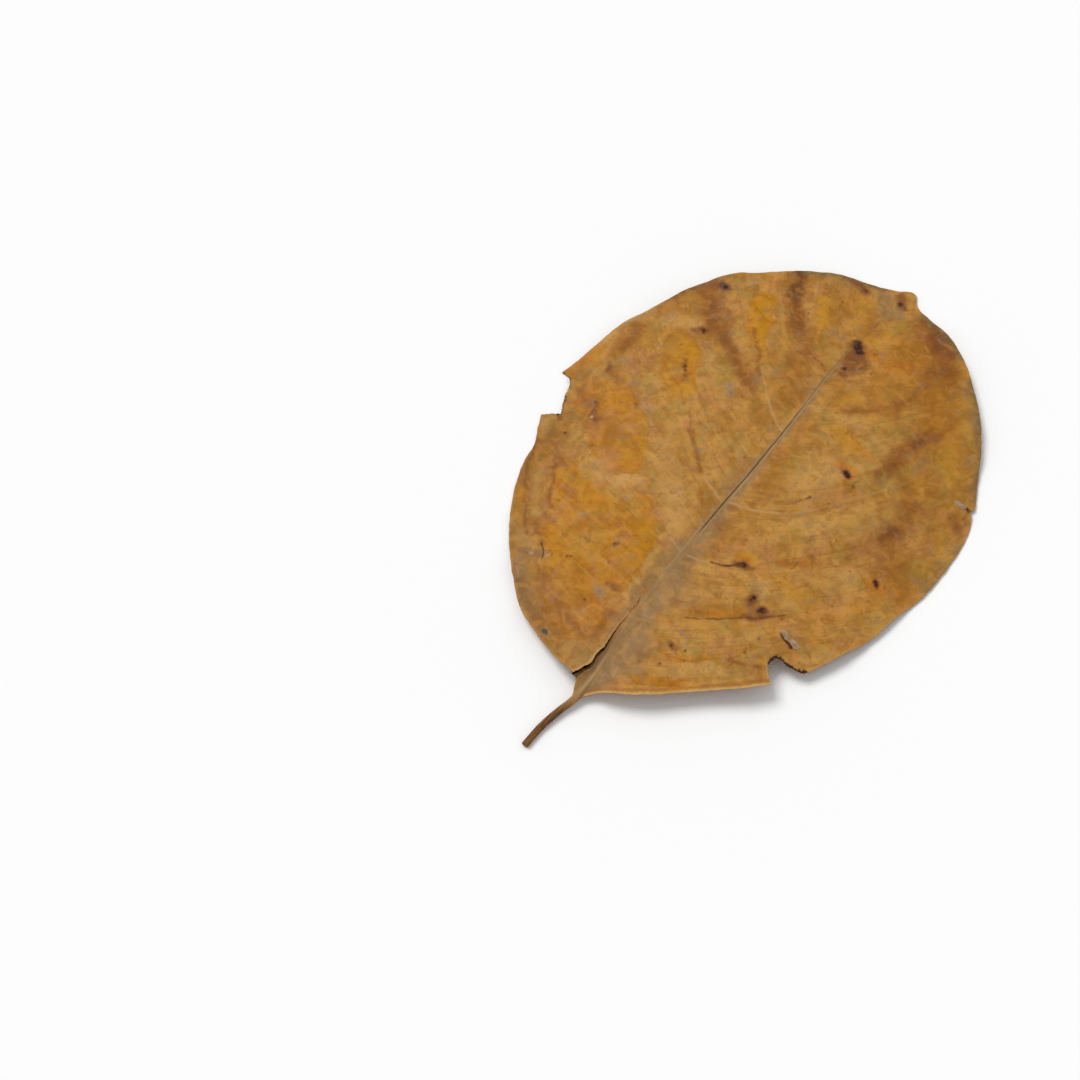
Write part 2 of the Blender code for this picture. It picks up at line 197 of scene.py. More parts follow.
def sideways(path):
    """Unit vectors across the path, one at each of its points."""
    run = np.gradient(path, axis=0)
    run /= np.linalg.norm(run, axis=1)[:, None]
    return np.column_stack([-run[:, 1], run[:, 0]])


def between(line, shares):
    """Points of the polyline at these shares of its run, in which each stretch counts the same."""
    corners = np.reshape(line, (-1, 2))
    knots = np.linspace(0.0, 1.0, len(corners))
    return np.column_stack([np.interp(shares, knots, corners[:, i]) for i in (0, 1)])


def distance_to_line(points, line):
    """Distance in plan from each point to the polyline, or to a single point."""
    line = np.asarray(line, dtype=float).reshape(-1, 2)
    if len(line) == 1:
        return np.hypot(*(points - line[0]).T)
    nearest = np.full(len(points), np.inf)
    for start, end in zip(line[:-1], line[1:]):
        run = end - start
        along = np.clip((points - start) @ run / (run @ run), 0.0, 1.0)
        offset = points - start - along[:, None] * run
        nearest = np.minimum(nearest, np.hypot(offset[:, 0], offset[:, 1]))
    return nearest


def inside(points, polygon):
    """True for each point inside the closed polygon."""
    corners = np.asarray(polygon, dtype=float)
    u, v = points[:, 0], points[:, 1]
    odd = np.zeros(len(points), dtype=bool)
    for (u1, v1), (u2, v2) in zip(corners, np.roll(corners, -1, axis=0)):
        crosses = (v1 > v) != (v2 > v)
        with np.errstate(divide="ignore", invalid="ignore"):
            at = u1 + (v - v1) * (u2 - u1) / (v2 - v1)
        odd ^= crosses & (u < at)
    return odd


def distance_to_edge(points, polygon):
    return distance_to_line(points, np.vstack([polygon, polygon[:1]]))


def inward_distance(points, polygon):
    """Distance to the polygon's edge: positive inside it and negative outside."""
    distance = distance_to_edge(points, polygon)
    return np.where(inside(points, polygon), distance, -distance)


def cloud(points, size, seed):
    """Smooth noise from -1 to 1 with features of about that size. Each seed gives a noise of its own."""
    scaled = points / size
    return np.array([noise.noise(Vector((u, v, 17.3 * seed))) for u, v in scaled])


def around(stations):
    """The stations of a full turn, with one before it and two after it for a smooth join."""
    before = (stations[-1][0] - 360, stations[-1][1])
    after = [(direction + 360, value) for direction, value in stations[:2]]
    return [before] + stations + after


def distance_to_veins(points, veins):
    return np.min([distance_to_line(points, vein) for vein in veins], axis=0)


MIDRIB_CURVE = curve_through(MIDRIB, 1.0)
MARGIN_CURVE = curve_through(around(MARGIN), MARGIN_STEP)


def midrib_u(v):
    return np.interp(v, MIDRIB_CURVE[:, 1], MIDRIB_CURVE[:, 0])


def midrib_half_width(v):
    return np.interp(v, MIDRIB_STATIONS, MIDRIB_HALF_WIDTHS)


def midrib_rail(v, rail):
    return np.column_stack([midrib_u(v) + rail * midrib_half_width(v), v])


def vein_lines(step, whole):
    """The side veins where they show above, or whole, from the midrib outwards, as they stand out below."""
    lines = []
    for side, veins in ((-1.0, LEFT_VEINS), (1.0, RIGHT_VEINS)):
        for start, rise, bend, first, last in veins:
            ends = (VEIN_REACH[0], last + VEIN_REACH[1]) if whole else (first, last)
            t = even_steps(*ends, step)
            lines.append(np.column_stack([midrib_u(start) + side * t, start + rise * t + bend * t * t]))
    return lines


SIDE_VEINS = vein_lines(SIDE_VEIN_STEP, whole=False)
RIBS = vein_lines(RIB_STEP, whole=True)


def crack_bank(side):
    """The left (-1) or the right (+1) bank of the tear, from its mouth to where the two meet."""
    closing = np.linspace(1.0, 0.0, len(CRACK), endpoint=False)
    return [(u + side * 0.5 * CRACK_GAP * share, v) for (u, v), share in zip(CRACK, closing)]


def torn(points, seed, depth=0.16):
    """A torn edge: the polyline cut finer, with small irregular teeth."""
    points = np.array(points, dtype=float)
    result = [points[0]]
    for start, end in zip(points[:-1], points[1:]):
        run = end - start
        across = np.array([-run[1], run[0]]) / np.hypot(*run)
        for t in even_steps(0.0, 1.0, TORN_STEP / np.hypot(*run))[1:-1]:
            spot = start + t * run
            tooth = noise.noise(Vector((*(spot / 0.5), seed)))
            result.append(spot + across * depth * 2.0 * tooth)
        result.append(end)
    return np.array(result)


def frayed(points, seed, depth=0.14):
    """A grown edge with its fine unevenness."""
    shift = cloud(points, 2.2, seed) + 0.5 * cloud(points, 0.8, seed + 1)
    ends = np.clip(np.minimum(np.arange(len(points)), np.arange(len(points))[::-1]) / 4.0, 0.0, 1.0)
    return points + sideways(points) * (depth * shift * ends)[:, None]


def blade_outline():
    """The outline of blade and stalk in plan, anticlockwise seen from above."""
    stalk = even_steps(*STALK_RUN, STALK_STEP)
    right = frayed(curve_through(RIGHT_LOBE, EDGE_STEP), 3)
    corner = torn([right[-1], *TORN_CORNER, RIGHT_EDGE[0]], 5, 0.22)
    upper = frayed(curve_through(UPPER_RIGHT_EDGE + TIP + UPPER_LEFT_EDGE, EDGE_STEP), 7)
    bite = torn([upper[-1], *BITE, LEFT_EDGE[0]], 9, 0.20)
    left = frayed(curve_through(LEFT_EDGE, EDGE_STEP), 11)
    crack_left = torn([left[-1], *LOBE_POINT, *crack_bank(-1.0), *CRACK_END], 13, 0.10)
    crack_right = torn([*CRACK_END, *crack_bank(1.0)[::-1], *STRIP_END], 15, 0.05)
    facing = np.interp(crack_left[:, 1], crack_right[::-1, 1], crack_right[::-1, 0]) - CRACK_LEAST
    upper_part = (crack_left[:, 1] > 3.0) & (crack_left[:, 1] < CRACK_END[0][1])
    crack_left[upper_part, 0] = np.minimum(crack_left[upper_part, 0], facing[upper_part])
    stretches = [
        midrib_rail(stalk, 1.0),
        right,
        corner[1:-1],
        frayed(curve_through(RIGHT_EDGE, EDGE_STEP), 4),
        NICK,
        upper,
        bite[1:-1],
        left,
        crack_left[1:],
        crack_right[1:],
        midrib_rail(stalk[::-1], -1.0),
    ]
    return np.vstack([np.array(stretch, dtype=float) for stretch in stretches])


def plan_lines(veins):
    """Lines that the mesh follows: the rails of the midrib, and three along each side vein."""
    along = np.concatenate([even_steps(*STALK_RUN, STALK_STEP), even_steps(*BLADE_RUN, MIDRIB_STEP)])
    lines = [midrib_rail(along, rail) for rail in MIDRIB_RAILS]
    for vein in veins:
        lines += [vein + side * VEIN_RIDGE_HALF_WIDTH * sideways(vein) for side in (-1.0, 0.0, 1.0)]
    return lines


def fill_points(outline, lines, extra):
    """Points of a triangular grid, and those that carry the paint, clear of each other and of the lines."""
    low = outline.min(axis=0)
    high = outline.max(axis=0)
    row_height = FILL_STEP * math.sqrt(3.0) / 2.0
    grid = []
    for row, v in enumerate(np.arange(low[1], high[1], row_height)):
        shift = 0.5 * FILL_STEP * (row % 2)
        grid.extend((u, v) for u in np.arange(low[0] + shift, high[0], FILL_STEP))
    kept = []
    taken = np.vstack([outline] + lines)
    for candidates, clearance in ((extra, PAINT_CLEARANCE), (np.array(grid), FILL_CLEARANCE)):
        tree = kdtree.KDTree(len(taken))
        for i, (u, v) in enumerate(taken):
            tree.insert((u, v, 0.0), i)
        tree.balance()
        clear = np.array([tree.find((u, v, 0.0))[2] > clearance for u, v in candidates])
        clear &= inside(candidates, outline)
        kept.append(candidates[clear])
        taken = np.vstack([taken, candidates[clear]])
    return np.vstack(kept)


def split_plan(outline, veins, extra):
    """Corners of the plan and its triangles, with every line kept as triangle edges."""
    lines = plan_lines(veins)
    corners = [Vector(point) for point in outline]
    edges = [(i, (i + 1) % len(outline)) for i in range(len(outline))]
    for line in lines:
        first = len(corners)
        corners.extend(Vector(point) for point in line)
        edges.extend((first + i, first + i + 1) for i in range(len(line) - 1))
    corners.extend(Vector(point) for point in fill_points(outline, lines, extra))
    inside_constraints = 1
    corners, _, triangles, _, _, _ = delaunay_2d_cdt(corners, edges, [], inside_constraints, 1e-5)
    corners = np.array([tuple(corner) for corner in corners])
    triangles = np.array(triangles)
    # Side veins span the crack, so the triangles between its banks are left out here
    triangles = triangles[inside(corners[triangles].mean(axis=1), outline)]
    used, triangles = np.unique(triangles, return_inverse=True)
    return corners[used], [tuple(triangle) for triangle in triangles.reshape(-1, 3).tolist()]


def torn_side(points):
    """How far the lobe left of the tear lifts, from 1 at the tear to 0 away from it."""
    line = np.array(LOBE_POINT + CRACK + CRACK_END)
    left_of_crack = np.interp(points[:, 1], line[:, 1], line[:, 0]) - points[:, 0]
    on_lobe = (left_of_crack > 0.0) & (points[:, 1] < line[-1, 1])
    return np.where(on_lobe, np.exp(-np.maximum(left_of_crack, 0.0) / LOBE_LIFT_REACH), 0.0)


def upper_face(points, to_margin, veins):
    """Height of the solid's upper face, before it is pressed flat."""
    u, v = points[:, 0], points[:, 1]
    across = (u - ARCH_CENTRE[0]) / ARCH_REACH[0]
    along = (v - ARCH_CENTRE[1]) / ARCH_REACH[1]
    reach = np.hypot(across, along)
    direction = np.arctan2(along, across) % math.tau
    margin = np.interp(np.degrees(direction), MARGIN_CURVE[:, 0], MARGIN_CURVE[:, 1])
    height = ARCH_HEIGHT - (ARCH_HEIGHT - margin) * reach ** ARCH_POWER

    shift = MARGIN_WAVE_SHIFT * np.sin(MARGIN_WAVE_SHIFTS_ROUND * direction)
    wave = np.sin(MARGIN_WAVES_ROUND * direction + shift)
    height += MARGIN_WAVE * wave * smoothstep(*MARGIN_WAVE_REACH, reach)
    swell = np.sin(u / SWELL_ACROSS[0] + SWELL_ACROSS[1]) * np.sin(v / SWELL_ALONG[0] + SWELL_ALONG[1])
    height += SWELL * swell

    beside_midrib = np.abs(u - midrib_u(v))
    height -= MIDRIB_VALLEY * np.exp(-(beside_midrib / MIDRIB_VALLEY_REACH) ** 2)
    to_vein = distance_to_veins(points, veins)
    valley = smoothstep(*VEIN_VALLEY_START, beside_midrib) * np.exp(-(to_vein / VEIN_VALLEY_REACH) ** 2)
    height -= VEIN_VALLEY * valley
    for fold in (CREASE, STRIP_FOLD):
        to_fold = distance_to_line(points, curve_through(fold, FOLD_STEP))
        height -= FOLD_DEPTH * np.exp(-(to_fold / FOLD_REACH) ** 2)

    height += LOBE_LIFT * torn_side(points) * smoothstep(*LOBE_LIFT_ALONG, v)
    flap = smoothstep(*FLAP_LIFT_ACROSS, u) * smoothstep(*FLAP_LIFT_ALONG, v)
    height += FLAP_LIFT * flap * np.exp(-to_margin / FLAP_LIFT_REACH)
    return height


def fine_relief(points, to_margin, to_fine_vein):
    """Crumples, ripples, the raised midrib with its groove, and the raised side veins."""
    u, v = points[:, 0], points[:, 1]
    relief = np.zeros(len(points))
    for index, (size, height) in enumerate(CRUMPLE):
        relief += height * cloud(points, size, 21 + index)
    on_right = smoothstep(28.0, 40.0, u) * smoothstep(56.0, 70.0, v) * smoothstep(122.0, 106.0, v)
    phase = math.tau * (v + 0.25 * u) / RIPPLE_LENGTH + 3.0 * cloud(points, 9.0, 31)
    near_margin = smoothstep(12.0, 5.0, to_margin) * smoothstep(0.0, 4.0, to_margin)
    relief += RIPPLE * np.sin(phase) * on_right * near_margin
    relief += RIM_CURL * np.exp(-to_margin / 1.1) * (0.4 + 0.6 * cloud(points, 12.0, 33))

    off_axis = np.abs(u - midrib_u(v))
    ridge = np.interp(v, MIDRIB_RIDGE_STATIONS, MIDRIB_RIDGE_HEIGHTS)
    relief += ridge * np.clip(1.0 - (off_axis / MIDRIB_RIDGE_HALF_WIDTH) ** 2, 0.0, 1.0)
    groove = np.interp(v, GROOVE_STATIONS, GROOVE_DEPTHS)
    relief -= groove * np.clip(1.0 - off_axis / GROOVE_HALF_WIDTH, 0.0, 1.0)
    fading = np.exp(-off_axis / 16.0)
    relief += VEIN_RIDGE * fading * np.clip(1.0 - to_fine_vein / VEIN_RIDGE_HALF_WIDTH, 0.0, 1.0)
    return relief


def vein_ribs(points, ribs):
    """Depth of the side veins below the blade, and how far each point is up on one of them, from 0 to 1."""
    depth = np.zeros(len(points))
    rise = np.zeros(len(points))
    for rib in ribs:
        outward = np.clip((points[:, 0] - rib[0, 0]) / (rib[-1, 0] - rib[0, 0]), 0.0, 1.0)
        half_width = np.interp(outward, (0.0, 1.0), VEIN_HALF_WIDTHS)
        profile = np.clip(1.0 - (distance_to_line(points, rib) / half_width) ** 2, 0.0, 1.0)
        depth = np.maximum(depth, np.interp(outward, (0.0, 1.0), VEIN_DEPTHS) * profile)
        rise = np.maximum(rise, profile * np.clip(2.5 - 2.5 * outward, 0.0, 1.0))
    return depth, rise


def rib_depth(points, ribs):
    """Depth of the midrib and the side veins below the blade."""
    v = points[:, 1]
    rail = (points[:, 0] - midrib_u(v)) / midrib_half_width(v)
    midrib = np.interp(v, MIDRIB_STATIONS, MIDRIB_DEPTHS) * np.clip(1.0 - rail ** 2, 0.0, 1.0)
    return np.maximum(midrib, vein_ribs(points, ribs)[0])


def pressed_flat(height, softness):
    """The upper face's height, kept above the blade's thickness with a soft bend."""
    return THICKNESS + softness * np.logaddexp(0.0, (height - THICKNESS) / softness)


def leaf_heights(points, to_margin):
    """Heights of the upper and the lower face at every corner of the plan."""
    smooth = upper_face(points, to_margin, SIDE_VEINS)
    relief = fine_relief(points, to_margin, distance_to_veins(points, SIDE_VEINS))
    blade_top = pressed_flat(pressed_flat(smooth, PRESSED_SOFTNESS) + relief, RELIEF_SOFTNESS)
    blade_bottom = np.maximum(blade_top - THICKNESS - rib_depth(points, RIBS), 0.0)

    u, v = points[:, 0], points[:, 1]
    radius = midrib_half_width(v)
    rail = np.clip((u - midrib_u(v)) / radius, -1.0, 1.0)
    section = radius * (STALK_EDGE + (1.0 - STALK_EDGE) * np.sqrt(1.0 - rail ** 2))
    axis = np.interp(v, STALK_STATIONS, STALK_AXIS_HEIGHTS)
    share = smoothstep(*STALK_TO_BLADE, v)
    wrinkle = STALK_WRINKLE * cloud(points * np.array([7.0, 0.5]), 1.0, 41)
    top = share * blade_top + (1.0 - share) * (axis + section + wrinkle)
    bottom = share * blade_bottom + (1.0 - share) * (axis - section)
    return top, np.maximum(bottom, 0.0)


def outline_edges(triangles):
    """The edges that only one triangle has, in the direction of that triangle."""
    directed = {(a, b) for triangle in triangles for a, b in zip(triangle, triangle[1:] + triangle[:1])}
    return sorted(edge for edge in directed if edge[::-1] not in directed)


def to_row(points, heights):
    """Plan points and heights as points of the row frame, in metres."""
    return np.column_stack([points - np.array(PLAN_CENTRE), heights]) * MM


# What is painted on the blade
# Patches of clear golden skin with sharp irregular edges: u, v of each corner
GOLD_PATCHES = [
    [-30.6, 121.2, -29.6, 125, -25.2, 125.2, -22.6, 120.6, -20.8, 115, -19, 110.4, -18, 106.8,
     -20.6, 106.2, -23.8, 109.4, -27.2, 113.6, -29.6, 117.4],
    [-42.4, 97.4, -39.6, 101.6, -34.2, 99.4, -31.2, 95.4, -29.2, 90.8, -26.4, 87.2, -24.8, 84.6,
     -25.4, 81.8, -28, 80.8, -31.4, 82.4, -35.4, 85.2, -39, 89],
    [-50.4, 76, -47, 77.4, -43.6, 77, -40.6, 77.8, -37.6, 76.2, -34.4, 73.6, -30.6, 70.8, -27.6, 67,
     -25.6, 63.4, -23.6, 59.6, -22.6, 56.4, -24.6, 54.6, -29.4, 53, -33.8, 54.4, -38, 56.2, -41.4, 59,
     -45.4, 62.6, -49.4, 65.4, -51.6, 69.2, -51.4, 73.4],
    [-44.4, 49.8, -42.6, 52, -38.4, 50.6, -33.6, 48, -28.6, 46.6, -23.6, 46.4, -20.2, 48.6, -19.4, 51.6,
     -15.6, 52.2, -12.6, 48.2, -9.8, 45, -7.4, 41.4, -6.8, 36, -7.2, 30.4, -6.8, 26, -9.2, 23.8, -8, 20.4,
     -5.2, 17, -4.6, 12.2, -5.8, 9, -9.4, 8, -13.6, 6.8, -18.4, 8.6, -21.4, 11.4, -24.2, 15.6, -27.2, 19,
     -29, 22.6, -29.8, 25.8, -33.4, 27.6, -36, 31, -37.6, 36, -40.4, 41.4, -43, 45.6],
    [7.4, 7.6, 10.2, 10.2, 14, 12.8, 17.8, 15, 21, 16, 18.8, 13, 14.8, 9.8, 10.8, 7.4, 8.4, 6.8],
    [9.2, 17.4, 14, 18.6, 18.4, 20.6, 22.4, 23.4, 24.6, 25.4, 21, 24.2, 16.6, 21.6, 12.4, 20, 9.6, 19.2],
]
# Soft strokes and blots of each paint: (half-width, strength, u, v of each point of its line)
STROKES = {
    "amber": [
        (9, 0.85, 26, 124, 33, 114), (7, 0.9, 10, 134, 20, 129), (7, 0.55, 12, 122, 16, 112),
        (5, 0.4, 42, 108, 46, 98, 48, 84), (6, 0.55, 34, 100, 36, 90), (4.5, 0.6, 44, 74, 48, 68),
        (6, 0.55, -8, 138, -12, 130), (3, 0.45, -34, 130, -38, 124), (3.4, 0.5, -46, 112, -50, 104),
        (3.2, 0.6, -51, 96, -50, 88), (3, 0.5, -30, 104, -34, 108), (3, 0.35, -55.6, 84, -55, 76),
        (3.6, 0.35, -20, 112, -16, 106), (4.4, 0.55, -6, 108, -10, 100), (4, 0.6, 4, 92, 5, 78, 5, 70),
        (5, 0.4, 30, 60, 26, 52), (3.4, 0.5, 6, 56, 4, 50), (2.6, 0.35, 36, 46, 39, 43),
        (4.4, 0.75, -20, 24, -24, 18, -16, 12), (5, 0.7, -34, 62, -38, 66), (5, 0.35, -26, 34, -22, 38),
        (2.6, 0.6, -50, 57, -48, 50), (2.4, 0.4, 9, 8.4, 14, 11.4, 19, 14.6), (3.4, 0.35, 24, 31, 29, 36),
        (2.4, 0.7, 10.6, 32, 15.4, 35.4, 20, 39.2), (5, 0.5, -12, 124, -8, 120),
        (4, 0.4, -44, 105.6, -38, 99.6), (4, 0.45, -5, 98, -6, 88), (3.6, 0.6, 3, 110, 6, 104),
        (3.4, 0.6, -2, 135, 1, 130), (3.6, 0.5, -16, 18, -8, 15), (3.4, 0.7, -50, 71, -46, 65),
        (3.4, 0.4, -15, 113, -10, 110),
    ],
    "olive": [
        (2.2, 0.7, -35.6, 70.6, -33, 67.6), (2.6, 0.7, 7.6, 139.4, 5, 135),
        (2.2, 0.7, 33.6, 127, 37, 121, 40, 116), (3.4, 0.6, 37.6, 108.4, 40.6, 104),
        (2, 0.5, 30.6, 96.6, 33, 100), (2.4, 0.6, 46.8, 72.6, 49.8, 78), (3.2, 0.7, -21, 91, -18.6, 88.6),
        (2.6, 0.5, -24, 98, -21, 94), (2.6, 0.55, -45, 102, -48, 98), (3.4, 0.75, 8, 82, 11, 79),
        (3, 0.6, 29, 82, 31, 77, 27, 72), (2.6, 0.5, -12, 52, -9, 56), (2.6, 0.5, 19, 68, 17, 64),
        (2.2, 0.6, 31, 54.8, 34, 57.6), (1.6, 0.6, -17.6, 142.4, -13.6, 141.4), (2.4, 0.4, -19.6, 137),
        (1.4, 0.6, 15, 16.4, 19.4, 18.6), (1.4, 0.5, -40, 27, -37, 24), (1, 0.4, -50.6, 44.6, -47.6, 39.4),
        (1.6, 0.8, 12, 142.6, 15.6, 143),
    ],
    "pale": [
        (5, 0.45, -20.4, 62.4, -14.8, 57.6), (1.9, 1, -26.4, 52, -22.6, 54.4),
        (3.6, 0.8, -12.6, 55.4, -6.6, 49.6), (1.2, 0.7, -18.8, 47.6, -13.4, 44.8),
        (1.8, 0.7, -35.4, 53, -30, 50.4), (5.5, 0.6, 15, 86, 12, 77), (3.4, 0.5, 29, 82, 25.6, 72.4),
        (4, 0.7, 35.4, 63.4), (3, 0.55, 16, 66.4, 22, 71.4), (2.4, 0.45, 22, 92, 17, 82),
        (3.4, 0.4, 27, 54.6, 31, 58.6), (2.4, 0.6, 25.6, 49, 20.6, 47, 31, 48.6),
        (2.6, 0.4, 38, 58, 42, 52), (2, 0.7, 39, 37, 42.6, 42),
        (1.3, 0.75, 14.6, 17, 19.4, 19.6, 24, 22.6), (1.3, 0.6, 13.6, 13.4, 18, 16.6),
        (2, 0.5, 22.6, 31, 27, 36.6), (2.2, 0.5, 8, 27, 5, 23), (2.6, 0.4, 10.6, 39, 7, 34),
        (2.6, 0.7, -38, 105.4, -44, 102.4), (2.8, 0.25, -40.6, 84, -36.6, 80.6, -29, 76.6),
        (2.4, 0.4, -28, 96.4, -24, 92.4), (3, 0.5, -22, 68, -24.6, 74),
        (1.6, 0.5, -12.6, 123.4, -16.6, 128, -13, 117.8), (1.6, 0.4, -26, 106, -21, 102.4),
        (2.6, 0.6, 20, 101.6, 24.6, 97.6), (1.8, 0.5, 13, 103, 9.6, 100.6),
        (1.2, 0.7, -54.6, 59, -53, 54.6), (1.1, 0.7, -46.2, 44.6, -43.2, 39, -39.6, 33.4),
        (2.4, 0.75, -38, 26.6, -34, 22.6, -31, 17), (2.2, 0.9, -9, 5.4, -5.6, 3),
        (1.2, 0.7, -6.2, 40, -5.6, 31, -5, 24), (1.3, 0.9, -52, 101, -54.2, 96, -55.4, 90, -56.2, 86),
        (1, 0.4, -47, 108.6, -50, 103), (1.6, 0.4, 4.6, 42, 9, 43.4),
    ],
    "golden": [
        (2.6, 0.4, -42, 97, -40.4, 92.6, -36.6, 87.6), (1.6, 0.8, 11, 51.4, 14.6, 52.8),
        (2, 0.8, -14.6, 132.4, -12.6, 128.4, -10.6, 125), (2.6, 0.6, -5, 139, -3.6, 132),
        (3.4, 0.75, 12.4, 96.2, 16.6, 94.2), (4, 0.5, 44, 62, 42, 57), (3.4, 0.5, 36, 113, 42, 104),
        (3.4, 0.6, 6.6, 132, 3.4, 128), (1.8, 0.6, 28.4, 134.6, 31.4, 131.6),
        (1.2, 0.85, -47.6, 38.8, -45.6, 35, -43, 31.2), (1, 0.6, -50.6, 48.6, -48, 43.8),
        (1.2, 0.6, 28.6, 27, 33.6, 29.2), (2.8, 0.6, 24, 51, 33, 50.6), (2.4, 0.5, 10, 110, 6, 103.6),
        (2.2, 0.5, -55.4, 80, -54, 84.6), (2.4, 0.45, 47.6, 88, 50.6, 84), (1, 0.5, 16.6, 10, 22.6, 15.6),
        (2, 0.35, 6.6, 46.8, 3, 44),
    ],
    "yellow": [
        (3.4, 1, -27.6, 121.4, -25, 117, -21.6, 111.4), (2.6, 0.85, -34.6, 97, -31, 91.6, -28, 86),
        (2.4, 0.6, -30.4, 43.6, -26, 42.6), (2.4, 0.6, -15, 43.6, -10, 41.6, -8.6, 36),
        (2.4, 0.5, -38, 74.6, -42, 71), (2.2, 0.5, -29, 60, -26.6, 57), (1.8, 0.5, -31, 30, -27, 24),
        (2.4, 0.35, -20, 32, -15, 28),
    ],
    "grey": [
        (4.6, 0.85, -0.4, 0, 1, 8, 2, 14), (3.4, 0.5, 7, 10, 5.4, 14.4),
        (4.6, 0.85, 1.2, 18, 1.8, 25, 1.4, 34), (3.4, 0.85, 1.2, 38, 1.4, 46, 0.6, 54),
        (2, 0.7, 0.6, 54, 0.4, 66, 0.4, 78), (1.9, 0.6, -3, 16, -3.6, 30, -3.8, 38, -2.8, 46),
        (1.5, 0.6, -0.6, 54, 0, 66, 0.2, 80), (1.5, 0.7, 0.6, 84, 0.6, 96, 0, 112),
        (1.6, 0.55, -3.2, 69.6, -3.6, 63.6), (1.6, 0.55, -3, 107, -2, 103),
        (2.6, 0.85, -2.6, 144.6, 0, 141.6, 3, 141.6), (2.2, 0.6, 1, 138.4),
        (1.6, 0.8, 36.6, 124.6, 38.4, 122), (1.7, 0.6, 42.6, 112.4), (1.4, 0.75, 46.6, 106, 49, 102.6),
        (1.5, 0.75, 33.2, 103.2, 32.6, 99.6), (1.3, 0.8, 11, 144.2, 15, 143.6, 21, 140.6),
        # The grey strokes on the lower left strip, from u = -36 to -22, are partly grey film and partly
        # painted shade
        (1, 0.6, -50, 41.6, -51.8, 45.6), (2.6, 0.8, -35.6, 20.4, -31.4, 15.6, -27, 11.6, -22.6, 8.8),
        (1.2, 0.75, -29.2, 24.6, -33.4, 22.6), (2, 0.6, -33.6, 52.6), (1.2, 0.85, -31.6, 71.8, -30, 69.6),
        (1.8, 0.45, 9.4, 81.6), (1, 0.5, 50.6, 86, 52.8, 80, 52, 74),
        (1.2, 0.6, -26.6, 134.8, -22.6, 138, -18, 141.2), (1.1, 0.6, -44.6, 119.6, -47.4, 112),
        (1.8, 0.55, -46.8, 84.8), (1.6, 0.6, 30.6, 129.4), (1.7, 0.5, 18.2, 47.6, 20, 45.4),
        (1.2, 0.35, 27.6, 90, 29, 94), (1, 0.6, 34, 31.6, 32.4, 32.6),
        (1.6, 0.45, 29.8, 40.6, 32.6, 41.2, 36.4, 40.2, 38.6, 39.4), (2, 0.5, 28.6, 34.6, 31.6, 33),
    ],
    # Brown stains; the broad bands among them are partly stain and partly painted shade of the blade's
    # undulations
    "brown": [
        (4.2, 0.85, -42.6, 117, -38.6, 113.4, -34.4, 109.4),
        (2.9, 0.85, -36, 111, -30, 105.8, -24, 101.6, -17.6, 97.6), (1.8, 0.6, -17.6, 97.6, -12.6, 93.4),
        (3.4, 0.5, -45.6, 114, -49, 106.6),
        (2.7, 0.95, -24.8, 136.6, -22.6, 131, -19.4, 125.4, -15.6, 120.2),
        (3, 0.7, -15.6, 120.2, -11.6, 116, -8, 113), (1.9, 0.8, 24.2, 131.6, 21.6, 128.6, 16.6, 126.4),
        (4.3, 0.9, 11, 141.2, 18, 138.4, 22.6, 133.6), (1.8, 0.5, 26, 41, 29, 42.6),
        (1.6, 0.6, 27.4, 129.6, 26.6, 126.6), (3, 0.8, 31.6, 111.6, 29, 107.2, 27.8, 101.6, 27.4, 97.6),
        (2, 0.3, 27, 95, 26.4, 91), (2.8, 0.5, 30, 95.4, 34.4, 94.4, 37.6, 90),
        (2.9, 0.6, 37.6, 90, 38.4, 84, 38, 80), (2.6, 0.5, 37.4, 78, 35, 73.6, 32.4, 69.6),
        (3.4, 0.55, 38.4, 80.6, 42, 74.6, 40.6, 72), (3.4, 0.45, 44, 73.6, 49.6, 71),
        (2.3, 0.6, 48, 95, 50.8, 92.6), (3.2, 0.45, -48.6, 72.6, -45, 67, -42, 63.6),
        (1.4, 0.75, 9.6, 103.4, 12.4, 105.2, 16, 107.6),
        (1.1, 0.65, 21.8, 124, 20.4, 118, 19.4, 112.6, 22, 110.6), (1.2, 0.6, 18, 113.6, 20.6, 111.4),
        (1, 0.8, -19.6, 74.8, -14.8, 70, -10.2, 65), (0.6, 0.45, -26, 83.6, -22.6, 79.6, -19.6, 74.8),
        (2.7, 0.75, -50.6, 96, -49.6, 88.6), (1.4, 0.75, -50.2, 81.4, -47.4, 79.2, -43.6, 77.6),
        (0.7, 0.5, -32.6, 126, -30.6, 123, -28.6, 118),
        (0.8, 0.8, -23.8, 112, -21, 108.2, -17.8, 104, -14.2, 99.6),
        (0.8, 0.6, -44, 50.6, -40.6, 49.4, -36.8, 47.4),
        (0.5, 0.35, -19.6, 51.6, -15.6, 53.6, -12.6, 56.4, -10.6, 59.6), (1.2, 0.45, 28.6, 55.2, 34, 54.2),
        (1.3, 0.7, 19.6, 55, 22.4, 57.4, 26.6, 60.6), (0.9, 0.5, 25.6, 61.6, 31.6, 63.2),
        (1.8, 0.6, 3.4, 82, 2.6, 78.6), (1.6, 0.45, 4.6, 60.6, 3, 55), (2.4, 0.4, -15, 83, -14, 79.6),
        (2.6, 0.35, -9, 78, -8, 73.4), (3, 0.5, -10, 107.6, -4.6, 104),
        (1.1, 0.5, 28.4, 129, 36, 131, 42, 121), (1, 0.35, 26, 44, 28.6, 46.6),
        (0.6, 0.9, 31.4, 28.6, 27.6, 27, 24.4, 25.4), (0.9, 0.8, -37.2, 34.2, -33, 33.4),
        (0.9, 0.7, -37, 31, -34.6, 28.4, -31.6, 26.2),
        (0.8, 0.85, -43.8, 48.6, -41.4, 43.6, -38.8, 39.4, -36.4, 36.4),
        (1.4, 0.6, -27.6, 19.6, -22, 16.6, -17, 14.6), (1.1, 0.6, -6.6, 20, -5.6, 12),
